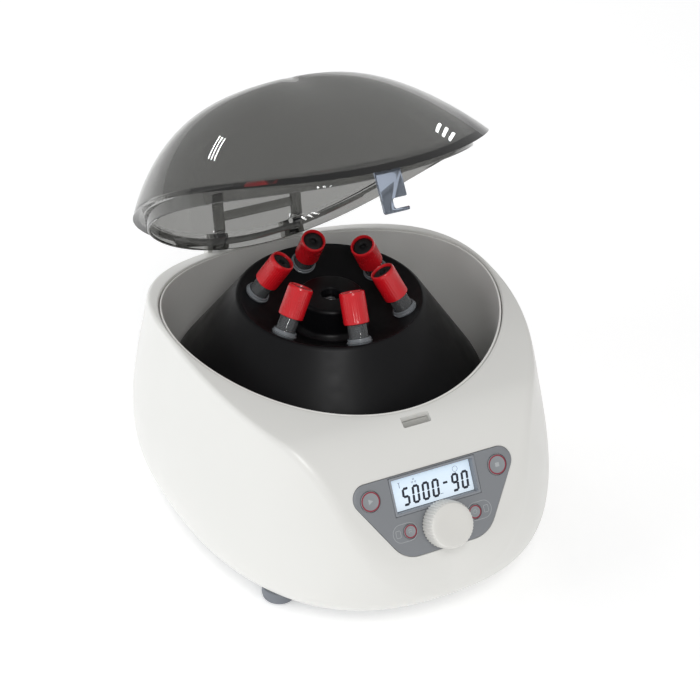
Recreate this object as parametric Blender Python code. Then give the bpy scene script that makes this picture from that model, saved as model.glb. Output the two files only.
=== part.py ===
"""Bench centrifuge for blood tubes: housing, bowl, motor, fixed-angle rotor, hinged lid and control panel.

Metres, +Z up, front towards -Y. The origin is on the bench under the middle of the machine.
Most shapes are drawn in the housing frame: its origin is on the rotor axis, level with the housing's underside.
"""

import math

import bmesh
import bpy
from mathutils import Euler, Matrix, Vector

# Housing frame and overall shape
ROTOR_Y = 0.02247
UNDERSIDE_Z = 0.010
GAP = 0.0003
COLUMNS = 64
WALL = 0.003
# Rows of the side wall: height, half width, reach to the front, reach to the back
WALL_ROWS = (
    (0.000, 0.1140, 0.1570, 0.1220),
    (0.006, 0.1205, 0.1660, 0.1280),
    (0.012, 0.1245, 0.1725, 0.1315),
    (0.020, 0.1278, 0.1785, 0.1342),
    (0.032, 0.1300, 0.1810, 0.1360),
    (0.050, 0.1305, 0.1795, 0.1365),
    (0.070, 0.1290, 0.1740, 0.1352),
    (0.090, 0.1262, 0.1665, 0.1325),
    (0.108, 0.1230, 0.1595, 0.1292),
    (0.122, 0.1208, 0.1535, 0.1265),
    (0.142, 0.1180, 0.1400, 0.1225),
)
FRONT_ROUNDNESS = 2.45
BACK_ROUNDNESS = 2.2

# The top is an arch along X, which bends down into a sloping front
BOWL_OPENING_R = 0.115
ARCH_TOP_Y = -0.016
ARCH_TOP_Z = 0.1391
ARCH_SAG = 0.0202
PANEL_CENTRE_Y = -0.1516
PANEL_CENTRE_Z = 0.0885
PANEL_SLOPE = math.radians(57.0)
SIDE_CREASE = 0.003
FRONT_CREASE = 0.026
CREASE_START = math.radians(45.0)

# Bowl, motor and rotor
LINER_R = 0.1144
LINER_WALL = 0.0015
LINER_DROP = 0.0012
LINER_FLOOR_Z = 0.0560
BOOT_HOLE_R = 0.014
BASE_THICK = 0.003
DAMPER_H = 0.008
DAMPER_RING_R = 0.052
BRACKET_R = 0.062
BRACKET_THICK = 0.003
MOTOR_R = 0.038
MOTOR_H = 0.037
SHAFT_R = 0.004
ROTOR_TOP_R = 0.0625
ROTOR_TOP_Z = 0.1407
ROTOR_EDGE_R = 0.1080
ROTOR_EDGE_Z = 0.0750
ROTOR_BOTTOM_Z = 0.0640
HUB_R = 0.0225
HUB_WELL_R = 0.0068
HUB_WELL_Z = 0.1285

# Tubes: measured down the tube's own axis from the top of its cap
TUBE_COUNT = 6
TUBE_PHASE = math.radians(25.9)
TUBE_TILT = math.radians(31.0)
TUBE_RING_R = 0.0328
TUBE_RING_Z = 0.1629
CAP_R = 0.00845
CAP_LENGTH = 0.021
CAP_BORE_R = 0.00685
TUBE_R = 0.0065
TUBE_WALL = 0.0010
TUBE_START = 0.0050
TUBE_END = 0.1040
SLEEVE_START = 0.0305
SLEEVE_R = 0.0079
SLEEVE_BORE_R = 0.0069
SLEEVE_END = 0.1060
BORE_R = 0.0083
DISH_START = 0.0335

# Lid, drawn closed in the housing frame and then turned about its hinge
HINGE_Y = 0.1240
HINGE_Z = 0.1144
LID_OPEN = math.radians(38.4)
LID_HALF_W = 0.1192
LID_FRONT = 0.1330
LID_BACK = 0.1195
LID_SEAT = 0.0005
LID_WALL = 0.0025
LID_HEIGHT = 0.0620
LID_APEX_Y = -0.0095
SKIRT_R = 0.1114
SKIRT_WALL = 0.0020
SKIRT_DROP = 0.0085
ARM_X = 0.030
ARM_W = 0.007
EYE_R = 0.0040
PIN_R = 0.0015

# Latch
TAB_Y = -0.1220
TAB_W = 0.017
TAB_THICK = 0.0026
TAB_BOTTOM_Z = 0.0935
BOLT_Z = 0.0990
BOLT_R = 0.0022
SLOT_W = 0.020
SLOT_DEPTH = 0.0064

# Control panel, in the plane of the panel: across, up the slope, and out of it
PANEL_TOP = 0.0133
PANEL_BOTTOM = -0.0400
PANEL_TOP_HALF = 0.0640
PANEL_BOTTOM_HALF = 0.0300
PANEL_TOP_CORNER = 0.009
PANEL_BOTTOM_CORNER = 0.019
PANEL_PROUD = 0.0004
PANEL_DEEP = -0.0012
RECESS_DEEP = -0.0016
WINDOW_W = 0.0580
WINDOW_H = 0.0214
BEZEL_WALL = 0.0016
DISPLAY_DEEP = -0.0044
KNOB_V = -0.0244
KNOB_R = 0.0155
KNOB_BASE = 0.0011
KNOB_TOP = 0.0150
KNOB_SHAFT_R = 0.003
KNOB_SHAFT_DEEP = -0.0048
BOARD_DEEP = -0.0130
BUTTONS = (
    ("button_start", -0.0455, 0.0020, 0.0066),
    ("button_stop", 0.0455, 0.0020, 0.0066),
    ("button_speed", -0.0233, -0.0232, 0.0046),
    ("button_time", 0.0233, -0.0232, 0.0046),
)
BUTTON_CLEAR = 0.0004
BUTTON_TOP = 0.0010
BUTTON_BOTTOM = -0.0006
STEM_R = 0.0020
STEM_END = -0.0081

# Rear fittings and feet
INLET_X = -0.023
SWITCH_X = 0.023
REAR_Z = 0.032
FOOT_X = 0.085
FOOT_FRONT_Y = -0.106
FOOT_REAR_Y = 0.078
FOOT_R = 0.0115

HOUSING_HOME = Vector((0.0, ROTOR_Y, UNDERSIDE_Z))


# ---------------------------------------------------------------- helpers

def material(name, colour, roughness, metallic=0.0, alpha=1.0):
    made = bpy.data.materials.new(name)
    made.use_nodes = True
    shader = made.node_tree.nodes["Principled BSDF"]
    shader.inputs["Base Color"].default_value = (*colour, 1.0)
    shader.inputs["Roughness"].default_value = roughness
    shader.inputs["Metallic"].default_value = metallic
    shader.inputs["Alpha"].default_value = alpha
    return made


def group(name, location, rotation=(0.0, 0.0, 0.0), parent=None):
    empty = bpy.data.objects.new(name, None)
    bpy.context.scene.collection.objects.link(empty)
    empty.parent = parent
    empty.location = location
    empty.rotation_euler = rotation
    return empty


def piece(name, bm, paint, parent=None, location=(0.0, 0.0, 0.0), rotation=(0.0, 0.0, 0.0)):
    """Turns a bmesh into a named object with outward faces and smooth round surfaces."""
    bmesh.ops.recalc_face_normals(bm, faces=bm.faces)
    mesh = bpy.data.meshes.new(name)
    bm.to_mesh(mesh)
    bm.free()
    made = bpy.data.objects.new(name, mesh)
    bpy.context.scene.collection.objects.link(made)
    if paint:
        mesh.materials.append(paint)
    made.parent = parent
    made.location = location
    made.rotation_euler = rotation
    smooth(made)
    return made


def smooth(made):
    made.data.shade_smooth()
    made.data.set_sharp_from_angle(angle=math.radians(32.0))


def combine(target, tool, operation):
    """Joins a tool to the target, or cuts it away, and removes the tool."""
    boolean = target.modifiers.new(operation, "BOOLEAN")
    boolean.operation = operation
    boolean.solver = "EXACT"
    boolean.object = tool
    bpy.context.view_layer.update()
    seen = target.evaluated_get(bpy.context.evaluated_depsgraph_get())
    result = bpy.data.meshes.new_from_object(seen)
    target.modifiers.clear()
    target.data = result
    bpy.data.objects.remove(tool)
    smooth(target)


def rings_mesh(rings, joined=False):
    """A closed mesh through rings of points. A ring of one point is a pole; joined links the last ring to the first."""
    bm = bmesh.new()
    rows = [[bm.verts.new(p) for p in ring] for ring in rings]
    pairs = list(zip(rows, rows[1:]))
    if joined:
        pairs.append((rows[-1], rows[0]))
    for low, high in pairs:
        count = max(len(low), len(high))
        for i in range(count):
            j = (i + 1) % count
            corners = [low[i % len(low)], low[j % len(low)], high[j % len(high)], high[i % len(high)]]
            bm.faces.new(dict.fromkeys(corners))
    if not joined:
        for end in (rows[0], rows[-1]):
            if len(end) > 2:
                bm.faces.new(end)
    return bm


def turned(profile, steps=32, joined=False, phase=0.0):
    """A body of revolution about Z from (radius, height) points; a point on the axis becomes a pole."""
    rings = []
    for radius, height in profile:
        if radius == 0.0:
            rings.append([Vector((0.0, 0.0, height))])
            continue
        angles = [phase + math.tau * i / steps for i in range(steps)]
        rings.append([Vector((radius * math.cos(a), radius * math.sin(a), height)) for a in angles])
    return rings_mesh(rings, joined)


def block(size, centre, bevel=0.0):
    bm = bmesh.new()
    bmesh.ops.create_cube(bm, size=1.0, matrix=Matrix.Translation(centre) @ Matrix.Diagonal((*size, 1.0)))
    if bevel:
        bmesh.ops.bevel(bm, geom=bm.edges[:], offset=bevel, segments=2, affect="EDGES", profile=0.5)
    return bm


def plate(outline, low, high):
    """A prism along Z from an outline of (x, y) points."""
    return rings_mesh([[Vector((x, y, z)) for x, y in outline] for z in (low, high)])


def ease(t):
    t = min(max(t, 0.0), 1.0)
    return t * t


def curve_through(rows, at, column):
    """Catmull-Rom value of one column of a table whose first column is the position."""
    last = len(rows) - 2
    i = 0
    while i < last and rows[i + 1][0] < at:
        i += 1
    before = rows[max(i - 1, 0)]
    here, there = rows[i], rows[i + 1]
    after = rows[min(i + 2, len(rows) - 1)]
    span = there[0] - here[0]
    t = (at - here[0]) / span
    slope_here = (there[column] - before[column]) / (there[0] - before[0])
    slope_there = (after[column] - here[column]) / (after[0] - here[0])
    a = (2 * t ** 3 - 3 * t ** 2 + 1) * here[column] + (t ** 3 - 2 * t ** 2 + t) * span * slope_here
    return a + (3 * t ** 2 - 2 * t ** 3) * there[column] + (t ** 3 - t ** 2) * span * slope_there


def polar_radius(angle, half_w, front, back, front_n=FRONT_ROUNDNESS, back_n=BACK_ROUNDNESS):
    """Distance from the rotor axis to a superellipse whose front and back reach differ."""
    c, s = abs(math.cos(angle)), abs(math.sin(angle))
    reach, n = (front, front_n) if math.sin(angle) < 0 else (back, back_n)
    return ((c / half_w) ** n + (s / reach) ** n) ** (-1.0 / n)


# ---------------------------------------------------------------- the housing's surface

def arch_height(y):
    return ARCH_TOP_Z - ARCH_SAG * ((y - ARCH_TOP_Y) / BOWL_OPENING_R) ** 2


def top_height(y):
    """Height of the top surface: the arch, a bend in front of the bowl, then the straight slope of the panel."""
    y_rim = -BOWL_OPENING_R
    if y >= y_rim:
        return arch_height(y)
    fall = math.tan(PANEL_SLOPE)
    if y <= PANEL_CENTRE_Y:
        return PANEL_CENTRE_Z - fall * (PANEL_CENTRE_Y - y)
    rim_fall = 2 * ARCH_SAG * (ARCH_TOP_Y - y_rim) / BOWL_OPENING_R ** 2
    span = y_rim - PANEL_CENTRE_Y
    t = (y_rim - y) / span
    upper = (2 * t ** 3 - 3 * t ** 2 + 1) * arch_height(y_rim) - (t ** 3 - 2 * t ** 2 + t) * span * rim_fall
    return upper + (3 * t ** 2 - 2 * t ** 3) * PANEL_CENTRE_Z - (t ** 3 - t ** 2) * span * fall


def wall_radius(angle, z, inset=0.0):
    half_w, front, back = (curve_through(WALL_ROWS, z, column) for column in (1, 2, 3))
    return polar_radius(angle, half_w, front, back) - inset


def section(angle, inset, wall_rows, crease_rows, top_rows, start_z=0.0):
    """(radius, height) points of the housing's skin at one angle, from its lower edge up to the bowl's opening."""
    rise = math.sin(angle)

    def top_at(radius):
        return top_height(radius * rise) - inset

    low, high = 0.010, 0.150
    for _ in range(40):
        z = (low + high) / 2
        if z > top_at(wall_radius(angle, min(z, WALL_ROWS[-1][0]), inset)):
            high = z
        else:
            low = z
    corner_z = (low + high) / 2
    corner_r = wall_radius(angle, corner_z, inset)
    forward = ease((-math.degrees(angle_from_side(angle)) - math.degrees(CREASE_START)) / 45.0)
    width = SIDE_CREASE + (FRONT_CREASE - SIDE_CREASE) * forward
    width = min(width, 0.8 * (corner_r - BOWL_OPENING_R))
    slope = (top_at(corner_r - 0.001) - top_at(corner_r)) / 0.001
    end_r = corner_r - width / math.hypot(1.0, slope)
    from_wall = Vector((wall_radius(angle, corner_z - width, inset), corner_z - width))
    corner = Vector((corner_r, corner_z))
    to_top = Vector((end_r, top_at(end_r)))
    points = []
    for i in range(wall_rows):
        z = start_z + (from_wall.y - start_z) * i / wall_rows
        points.append((wall_radius(angle, z, inset), z))
    for i in range(crease_rows + 1):
        t = i / crease_rows
        points.append(tuple(from_wall * (1 - t) ** 2 + corner * 2 * t * (1 - t) + to_top * t ** 2))
    for i in range(1, top_rows + 1):
        radius = end_r + (BOWL_OPENING_R - end_r) * i / top_rows
        points.append((radius, top_at(radius)))
    return points


def angle_from_side(angle):
    """Signed angle above or below the nearer side: -90 degrees is straight to the front."""
    return math.asin(math.sin(angle))


def surface_height(x, y):
    """Height of the housing's outer skin over a point in front of the bowl."""
    angle = math.atan2(y, x)
    radius = math.hypot(x, y)
    points = section(angle, 0.0, 4, 10, 12)[4:]
    for (r0, z0), (r1, z1) in zip(points, points[1:]):
        if r1 <= radius <= r0:
            return z1 + (z0 - z1) * (radius - r1) / max(r0 - r1, 1e-9)
    return points[0][1] if radius > points[0][0] else points[-1][1]


ACROSS = Vector((1.0, 0.0, 0.0))
UP_SLOPE = Vector((0.0, math.cos(PANEL_SLOPE), math.sin(PANEL_SLOPE)))
OUTWARD = Vector((0.0, -math.sin(PANEL_SLOPE), math.cos(PANEL_SLOPE)))
PANEL_HOME = Vector((0.0, PANEL_CENTRE_Y, PANEL_CENTRE_Z))
PANEL_TILT = Euler((PANEL_SLOPE, 0.0, 0.0))


def skin_offset(x, v):
    """How far the housing's skin lies from the panel's plane at a point of that plane."""
    low, high = -0.012, 0.012
    for _ in range(24):
        h = (low + high) / 2
        point = PANEL_HOME + ACROSS * x + UP_SLOPE * v + OUTWARD * h
        if point.z > surface_height(point.x, point.y):
            high = h
        else:
            low = h
    return (low + high) / 2


def rounded_outline(corners, arc_steps):
    """Closed outline of (x, y) points from corners given as (x, y, corner radius)."""
    outline = []
    count = len(corners)
    for i, (x, y, radius) in enumerate(corners):
        here = Vector((x, y))
        back = (Vector(corners[i - 1][:2]) - here).normalized()
        ahead = (Vector(corners[(i + 1) % count][:2]) - here).normalized()
        half = math.acos(max(-1.0, min(1.0, back.dot(ahead)))) / 2
        reach = radius / math.tan(half)
        centre = here + (back + ahead).normalized() * radius / math.sin(half)
        start, end = here + back * reach - centre, here + ahead * reach - centre
        turn = start.angle_signed(end)
        for k in range(arc_steps + 1):
            spun = Matrix.Rotation(-turn * k / arc_steps, 2) @ start
            outline.append((centre.x + spun.x, centre.y + spun.y))
    return outline


def panel_outline(grow):
    """The panel's rounded trapezoid, wide at the top, grown by a margin all round."""
    top_half = PANEL_TOP_HALF + grow
    bottom_half = PANEL_BOTTOM_HALF + grow
    corners = (
        (-top_half, PANEL_TOP + grow, PANEL_TOP_CORNER + grow),
        (-bottom_half, PANEL_BOTTOM - grow, PANEL_BOTTOM_CORNER + grow),
        (bottom_half, PANEL_BOTTOM - grow, PANEL_BOTTOM_CORNER + grow),
        (top_half, PANEL_TOP + grow, PANEL_TOP_CORNER + grow),
    )
    return rounded_outline(corners, 5)


def panel_body(grow, top, bottom):
    """A plate that follows the housing's skin inside the panel's outline, between two offsets from the skin."""
    outline = panel_outline(grow)
    middle_v = (PANEL_TOP + PANEL_BOTTOM) / 2
    scales = (0.35, 0.7, 1.0)

    def ring(scale, offset):
        points = []
        for x, v in outline:
            px, pv = x * scale, middle_v + (v - middle_v) * scale
            points.append(Vector((px, pv, skin_offset(px, pv) + offset)))
        return points

    pole = skin_offset(0.0, middle_v)
    rings = [[Vector((0.0, middle_v, pole + top))]]
    rings += [ring(scale, top) for scale in scales]
    rings += [ring(scale, bottom) for scale in reversed(scales)]
    rings.append([Vector((0.0, middle_v, pole + bottom))])
    return rings_mesh(rings)


# ---------------------------------------------------------------- materials

def make_materials():
    return {
        "white": material("white_plastic", (0.83, 0.83, 0.81), 0.35),
        "liner": material("liner_plastic", (0.62, 0.62, 0.58), 0.45),
        "base": material("base_plastic", (0.70, 0.71, 0.72), 0.55),
        "grey": material("panel_grey", (0.24, 0.26, 0.27), 0.5),
        "knob": material("knob_white", (0.78, 0.78, 0.76), 0.4),
        "smoke": material("smoked_lid", (0.16, 0.16, 0.165), 0.08, alpha=0.45),
        "rotor": material("black_rotor", (0.015, 0.015, 0.017), 0.5),
        "cap": material("cap_red", (0.75, 0.03, 0.035), 0.35),
        "rubber": material("black_rubber", (0.02, 0.02, 0.02), 0.8),
        "foot": material("grey_rubber", (0.28, 0.29, 0.31), 0.8),
        "tube": material("tube_glass", (0.85, 0.88, 0.88), 0.05, alpha=0.35),
        "sleeve": material("sleeve_plastic", (0.60, 0.60, 0.60), 0.35, alpha=0.6),
        "steel": material("steel", (0.6, 0.6, 0.6), 0.3, 1.0),
        "motor": material("motor_steel", (0.35, 0.35, 0.36), 0.4, 1.0),
        "display": material("display_glass", (0.72, 0.82, 0.92), 0.2),
        "board": material("board_green", (0.03, 0.22, 0.09), 0.5),
        "black": material("black_plastic", (0.02, 0.02, 0.02), 0.4),
    }


# ---------------------------------------------------------------- housing

def make_housing(paint, home):
    skin = [section(math.tau * i / COLUMNS, 0.0, 8, 3, 4) for i in range(COLUMNS)]
    lining = [section(math.tau * i / COLUMNS, WALL, 4, 1, 2) for i in range(COLUMNS)]
    rings = []
    for points in (skin, [list(reversed(column)) for column in lining]):
        for row in range(len(points[0])):
            ring = []
            for i, column in enumerate(points):
                angle = math.tau * i / COLUMNS
                radius, z = column[row]
                ring.append(Vector((radius * math.cos(angle), radius * math.sin(angle), z)))
            rings.append(ring)
    housing = piece("upper_housing", rings_mesh(rings, joined=True), paint["white"], home)
    for x in (-ARM_X, ARM_X):
        add_hinge_lugs(housing, x, home)
    slot = block((SLOT_W, SLOT_DEPTH, 0.040), (0.0, TAB_Y, 0.115))
    combine(housing, piece("slot_cutter", slot, None, home), "DIFFERENCE")
    cut_panel_openings(housing, home)
    cut_rear_openings(housing, home)
    return housing


def add_hinge_lugs(housing, x, home):
    """Two ears beside each lid arm, with a hole for the hinge pin."""
    lug_w = 0.0035
    offset = ARM_W / 2 + 0.0004 + lug_w / 2
    for side in (-1, 1):
        steps = 10
        outline = []
        for k in range(steps + 1):
            a = math.pi * k / steps
            outline.append((HINGE_Y + EYE_R * math.cos(a), HINGE_Z + EYE_R * math.sin(a)))
        outline += [(HINGE_Y - EYE_R, HINGE_Z - 0.0065), (HINGE_Y + EYE_R, HINGE_Z - 0.0085)]
        centre = x + side * offset
        rings = [[Vector((lx, y, z)) for y, z in outline] for lx in (centre - lug_w / 2, centre + lug_w / 2)]
        combine(housing, piece("lug", rings_mesh(rings), None, home), "UNION")
    hole = turned(((0.0, -0.010), (PIN_R + GAP, -0.010), (PIN_R + GAP, 0.010), (0.0, 0.010)), 12)
    at = (x, HINGE_Y, HINGE_Z)
    combine(housing, piece("pin_hole", hole, None, home, at, (0.0, math.pi / 2, 0.0)), "DIFFERENCE")


def panel_cutter(bm, home):
    return piece("panel_cutter", bm, None, home, PANEL_HOME, PANEL_TILT)


def window_block(margin, low, high):
    size = (WINDOW_W + 2 * margin, WINDOW_H + 2 * margin, high - low)
    return block(size, (0.0, 0.0, (high + low) / 2))


def round_block(x, v, radius, low, high, steps=20):
    bm = turned(((0.0, low), (radius, low), (radius, high), (0.0, high)), steps)
    bmesh.ops.translate(bm, verts=bm.verts, vec=(x, v, 0.0))
    return bm


def cut_panel_openings(housing, home):
    combine(housing, panel_cutter(panel_body(0.0004, 0.008, RECESS_DEEP), home), "DIFFERENCE")
    through = -0.012
    combine(housing, panel_cutter(window_block(BEZEL_WALL + GAP, through, 0.010), home), "DIFFERENCE")
    shaft = round_block(0.0, KNOB_V, KNOB_SHAFT_R + 0.001, through, 0.010)
    combine(housing, panel_cutter(shaft, home), "DIFFERENCE")
    for _, x, v, _ in BUTTONS:
        stem = round_block(x, v, STEM_R + 0.0006, through, 0.010, 12)
        combine(housing, panel_cutter(stem, home), "DIFFERENCE")


def rear_place(x):
    """Point and turn of a fitting on the outside of the back wall."""
    angle = math.pi / 2
    for _ in range(8):
        radius = wall_radius(angle, REAR_Z)
        angle = math.acos(x / radius)
    step = 0.002
    before = wall_radius(angle + step, REAR_Z)
    after = wall_radius(angle - step, REAR_Z)
    run = Vector((after * math.cos(angle - step), after * math.sin(angle - step)))
    run -= Vector((before * math.cos(angle + step), before * math.sin(angle + step)))
    turn = math.atan2(run.y, run.x)
    return Vector((x, radius * math.sin(angle), REAR_Z)), turn


def cut_rear_openings(housing, home):
    for x, size in ((INLET_X, (0.0278, 0.020, 0.0204)), (SWITCH_X, (0.0196, 0.020, 0.0136))):
        at, turn = rear_place(x)
        hole = block(size, (0.0, -0.004, 0.0))
        combine(housing, piece("rear_cutter", hole, None, home, at, (0.0, 0.0, turn)), "DIFFERENCE")


def make_base(paint, home):
    outline = []
    for i in range(COLUMNS):
        angle = math.tau * i / COLUMNS
        radius = wall_radius(angle, 0.0, WALL + 0.0006)
        outline.append((radius * math.cos(angle), radius * math.sin(angle)))
    piece("base_plate", plate(outline, 0.0, BASE_THICK), paint["base"], home)
    places = {"front_left": (-1, FOOT_FRONT_Y), "front_right": (1, FOOT_FRONT_Y)}
    places.update({"rear_left": (-1, FOOT_REAR_Y), "rear_right": (1, FOOT_REAR_Y)})
    top = -GAP
    bottom = -UNDERSIDE_Z
    profile = (
        (0.0, bottom),
        (FOOT_R - 0.0020, bottom),
        (FOOT_R - 0.0006, bottom + 0.0010),
        (FOOT_R, bottom + 0.0035),
        (FOOT_R, top),
        (0.0, top),
    )
    for name, (side, y) in places.items():
        piece("foot_" + name, turned(profile, 20), paint["foot"], home, (side * FOOT_X, y, 0.0))


def make_liner(paint, home):
    """The bowl: a cylinder whose top edge follows the arch, with a floor and a hole for the shaft."""
    steps = 48
    floor_top = LINER_FLOOR_Z + 0.0025
    inner = LINER_R - LINER_WALL
    rows = (
        (LINER_R, None),
        (LINER_R, LINER_FLOOR_Z + 0.006),
        (LINER_R - 0.004, LINER_FLOOR_Z),
        (BOOT_HOLE_R, LINER_FLOOR_Z),
        (BOOT_HOLE_R, floor_top),
        (inner - 0.007, floor_top),
        (inner - 0.002, floor_top + 0.002),
        (inner, floor_top + 0.007),
        (inner, None),
    )
    rings = []
    for radius, height in rows:
        ring = []
        for i in range(steps):
            a = math.tau * i / steps
            y = radius * math.sin(a)
            z = arch_height(y) - LINER_DROP if height is None else height
            ring.append(Vector((radius * math.cos(a), y, z)))
        rings.append(ring)
    piece("chamber_liner", rings_mesh(rings, joined=True), paint["liner"], home)
    boot = (
        (BOOT_HOLE_R - GAP, LINER_FLOOR_Z - 0.001),
        (BOOT_HOLE_R - GAP, floor_top + GAP),
        (BOOT_HOLE_R + 0.003, floor_top + GAP),
        (BOOT_HOLE_R + 0.002, floor_top + 0.0020),
        (0.0080, floor_top + 0.0030),
        (0.0060, floor_top + 0.0030),
        (0.0060, LINER_FLOOR_Z - 0.001),
    )
    piece("shaft_boot", turned(boot, 20, joined=True), paint["rubber"], home)


def make_drive(paint, home):
    """Dampers on the base, a bracket on them and the motor on the bracket."""
    damper_low = BASE_THICK + GAP
    damper_high = damper_low + DAMPER_H
    damper = (
        (0.0, damper_low),
        (0.0065, damper_low),
        (0.0075, damper_low + 0.002),
        (0.0060, damper_low + DAMPER_H / 2),
        (0.0075, damper_high - 0.002),
        (0.0065, damper_high),
        (0.0, damper_high),
    )
    for k in range(3):
        angle = math.tau * k / 3 + math.pi / 2
        at = (DAMPER_RING_R * math.cos(angle), DAMPER_RING_R * math.sin(angle), 0.0)
        piece(f"motor_damper_{k + 1}", turned(damper, 14), paint["rubber"], home, at)
    bracket_low = damper_high + GAP
    bracket_high = bracket_low + BRACKET_THICK
    bracket = ((0.0, bracket_low), (BRACKET_R, bracket_low), (BRACKET_R, bracket_high), (0.0, bracket_high))
    piece("motor_bracket", turned(bracket, 28), paint["steel"], home)
    motor_low = bracket_high + GAP
    motor_high = motor_low + MOTOR_H
    bore = SHAFT_R + GAP
    motor = (
        (0.0, motor_low),
        (MOTOR_R - 0.003, motor_low),
        (MOTOR_R, motor_low + 0.003),
        (MOTOR_R, motor_high - 0.004),
        (MOTOR_R - 0.004, motor_high),
        (bore, motor_high),
        (bore, motor_high - 0.015),
        (0.0, motor_high - 0.015),
    )
    piece("motor_body", turned(motor, 28), paint["motor"], home)
    return motor_high - 0.015 + GAP


# ---------------------------------------------------------------- rotor and tubes

def dish_height(radius):
    """The rotor's top between hub and ridge is a cone that the tube axes meet square on."""
    return ROTOR_TOP_Z - (ROTOR_TOP_R - radius) * math.tan(TUBE_TILT)


def make_rotor(paint, spin, shaft_low):
    groove_r = HUB_R + 0.004
    bore = SHAFT_R + GAP
    profile = (
        (bore, ROTOR_BOTTOM_Z),
        (ROTOR_EDGE_R - 0.003, ROTOR_BOTTOM_Z),
        (ROTOR_EDGE_R, ROTOR_BOTTOM_Z + 0.004),
        (ROTOR_EDGE_R, ROTOR_EDGE_Z),
        (ROTOR_EDGE_R - 0.0025, ROTOR_EDGE_Z + 0.0045),
        (ROTOR_TOP_R + 0.0012, ROTOR_TOP_Z - 0.0015),
        (ROTOR_TOP_R - 0.0010, ROTOR_TOP_Z),
        (ROTOR_TOP_R - 0.0030, dish_height(ROTOR_TOP_R - 0.0030)),
        (groove_r, dish_height(groove_r)),
        (HUB_R, dish_height(groove_r) + 0.003),
        (HUB_R, ROTOR_TOP_Z - 0.0015),
        (HUB_R - 0.0015, ROTOR_TOP_Z),
        (HUB_WELL_R, ROTOR_TOP_Z),
        (HUB_WELL_R, HUB_WELL_Z),
        (bore, HUB_WELL_Z),
    )
    rotor = piece("rotor", turned(profile, 48, joined=True, phase=TUBE_PHASE), paint["rotor"], spin)
    bores = turned(((0.0, -SLEEVE_END - 0.0008), (BORE_R, -SLEEVE_END - 0.0008), (BORE_R, -0.022), (0.0, -0.022)), 14)
    for k in range(TUBE_COUNT):
        at, tilt = tube_place(k)
        combine(rotor, piece("bore_cutter", bores.copy(), None, spin, at, tilt), "DIFFERENCE")
    bores.free()
    thread_r = 0.0030
    shaft_top = HUB_WELL_Z + 0.0055
    shaft = (
        (0.0, shaft_low),
        (SHAFT_R, shaft_low),
        (SHAFT_R, HUB_WELL_Z),
        (thread_r, HUB_WELL_Z),
        (thread_r, shaft_top),
        (0.0, shaft_top),
    )
    piece("motor_shaft", turned(shaft, 20), paint["steel"], spin)
    nut_low = HUB_WELL_Z + GAP
    nut_bore = (thread_r + GAP) / math.cos(math.pi / 6)
    nut = (
        (nut_bore, nut_low),
        (0.0058, nut_low),
        (0.0058, nut_low + 0.0060),
        (0.0052, nut_low + 0.0066),
        (nut_bore, nut_low + 0.0066),
    )
    piece("rotor_nut", turned(nut, 6, joined=True), paint["steel"], spin)


def tube_place(k):
    """Cap-top point and tilt of tube k: local -Z runs down the tube, away from the rotor axis."""
    angle = TUBE_PHASE + math.tau * k / TUBE_COUNT
    at = Vector((TUBE_RING_R * math.cos(angle), TUBE_RING_R * math.sin(angle), TUBE_RING_Z))
    return at, Euler((0.0, -TUBE_TILT, angle))


def make_tubes(paint, spin):
    sleeve = (
        (0.0, -SLEEVE_END),
        (SLEEVE_R - 0.003, -SLEEVE_END),
        (SLEEVE_R, -SLEEVE_END + 0.003),
        (SLEEVE_R, -DISH_START - 0.0001),
        (SLEEVE_R + 0.0010, -DISH_START + GAP),
        (SLEEVE_R + 0.0010, -DISH_START + 0.0012),
        (SLEEVE_R, -DISH_START + 0.0014),
        (SLEEVE_R, -SLEEVE_START),
        (SLEEVE_BORE_R, -SLEEVE_START),
        (SLEEVE_BORE_R, -TUBE_END + TUBE_R - 0.0014),
        (SLEEVE_BORE_R * 0.70, -TUBE_END + TUBE_R * 0.29 - 0.0012),
        (0.0, -TUBE_END - GAP - 0.0003),
    )
    inner = TUBE_R - TUBE_WALL
    bottom_z = -TUBE_END + TUBE_R
    tube = [(0.0, -TUBE_END)]
    tube += [(TUBE_R * math.sin(a), bottom_z - TUBE_R * math.cos(a)) for a in (0.52, 1.05, math.pi / 2)]
    tube += [(TUBE_R, -TUBE_START), (inner, -TUBE_START)]
    tube += [(inner * math.sin(a), bottom_z - inner * math.cos(a)) for a in (math.pi / 2, 1.05, 0.52)]
    tube.append((0.0, -TUBE_END + TUBE_WALL))
    cap = (
        (CAP_R - 0.0004, 0.0),
        (CAP_R, -0.0008),
        (CAP_R, -CAP_LENGTH),
        (CAP_BORE_R, -CAP_LENGTH),
        (CAP_BORE_R, 0.0),
    )
    disc_r = CAP_BORE_R - GAP
    plug_r = inner - GAP
    disc_top = -0.0012
    stopper = (
        (0.0, disc_top - 0.0035),
        (0.0021, disc_top - 0.0030),
        (0.0024, disc_top),
        (disc_r, disc_top),
        (disc_r, -TUBE_START + GAP),
        (plug_r, -TUBE_START + GAP),
        (plug_r, -0.0130),
        (0.0, -0.0130),
    )
    for k in range(TUBE_COUNT):
        at, tilt = tube_place(k)
        number = k + 1
        piece(f"tube_sleeve_{number}", turned(sleeve, 12), paint["sleeve"], spin, at, tilt)
        slide = group(f"tube_slide_{number}", at, tilt, spin)
        piece(f"blood_tube_{number}", turned(tube, 12), paint["tube"], slide)
        piece(f"tube_cap_{number}", turned(cap, 16, joined=True), paint["cap"], slide)
        piece(f"tube_stopper_{number}", turned(stopper, 12), paint["rubber"], slide)


# ---------------------------------------------------------------- lid

def lid_rim(angle, inset):
    return polar_radius(angle, LID_HALF_W - inset, LID_FRONT - inset, LID_BACK - inset, 2.06, 1.96)


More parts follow.
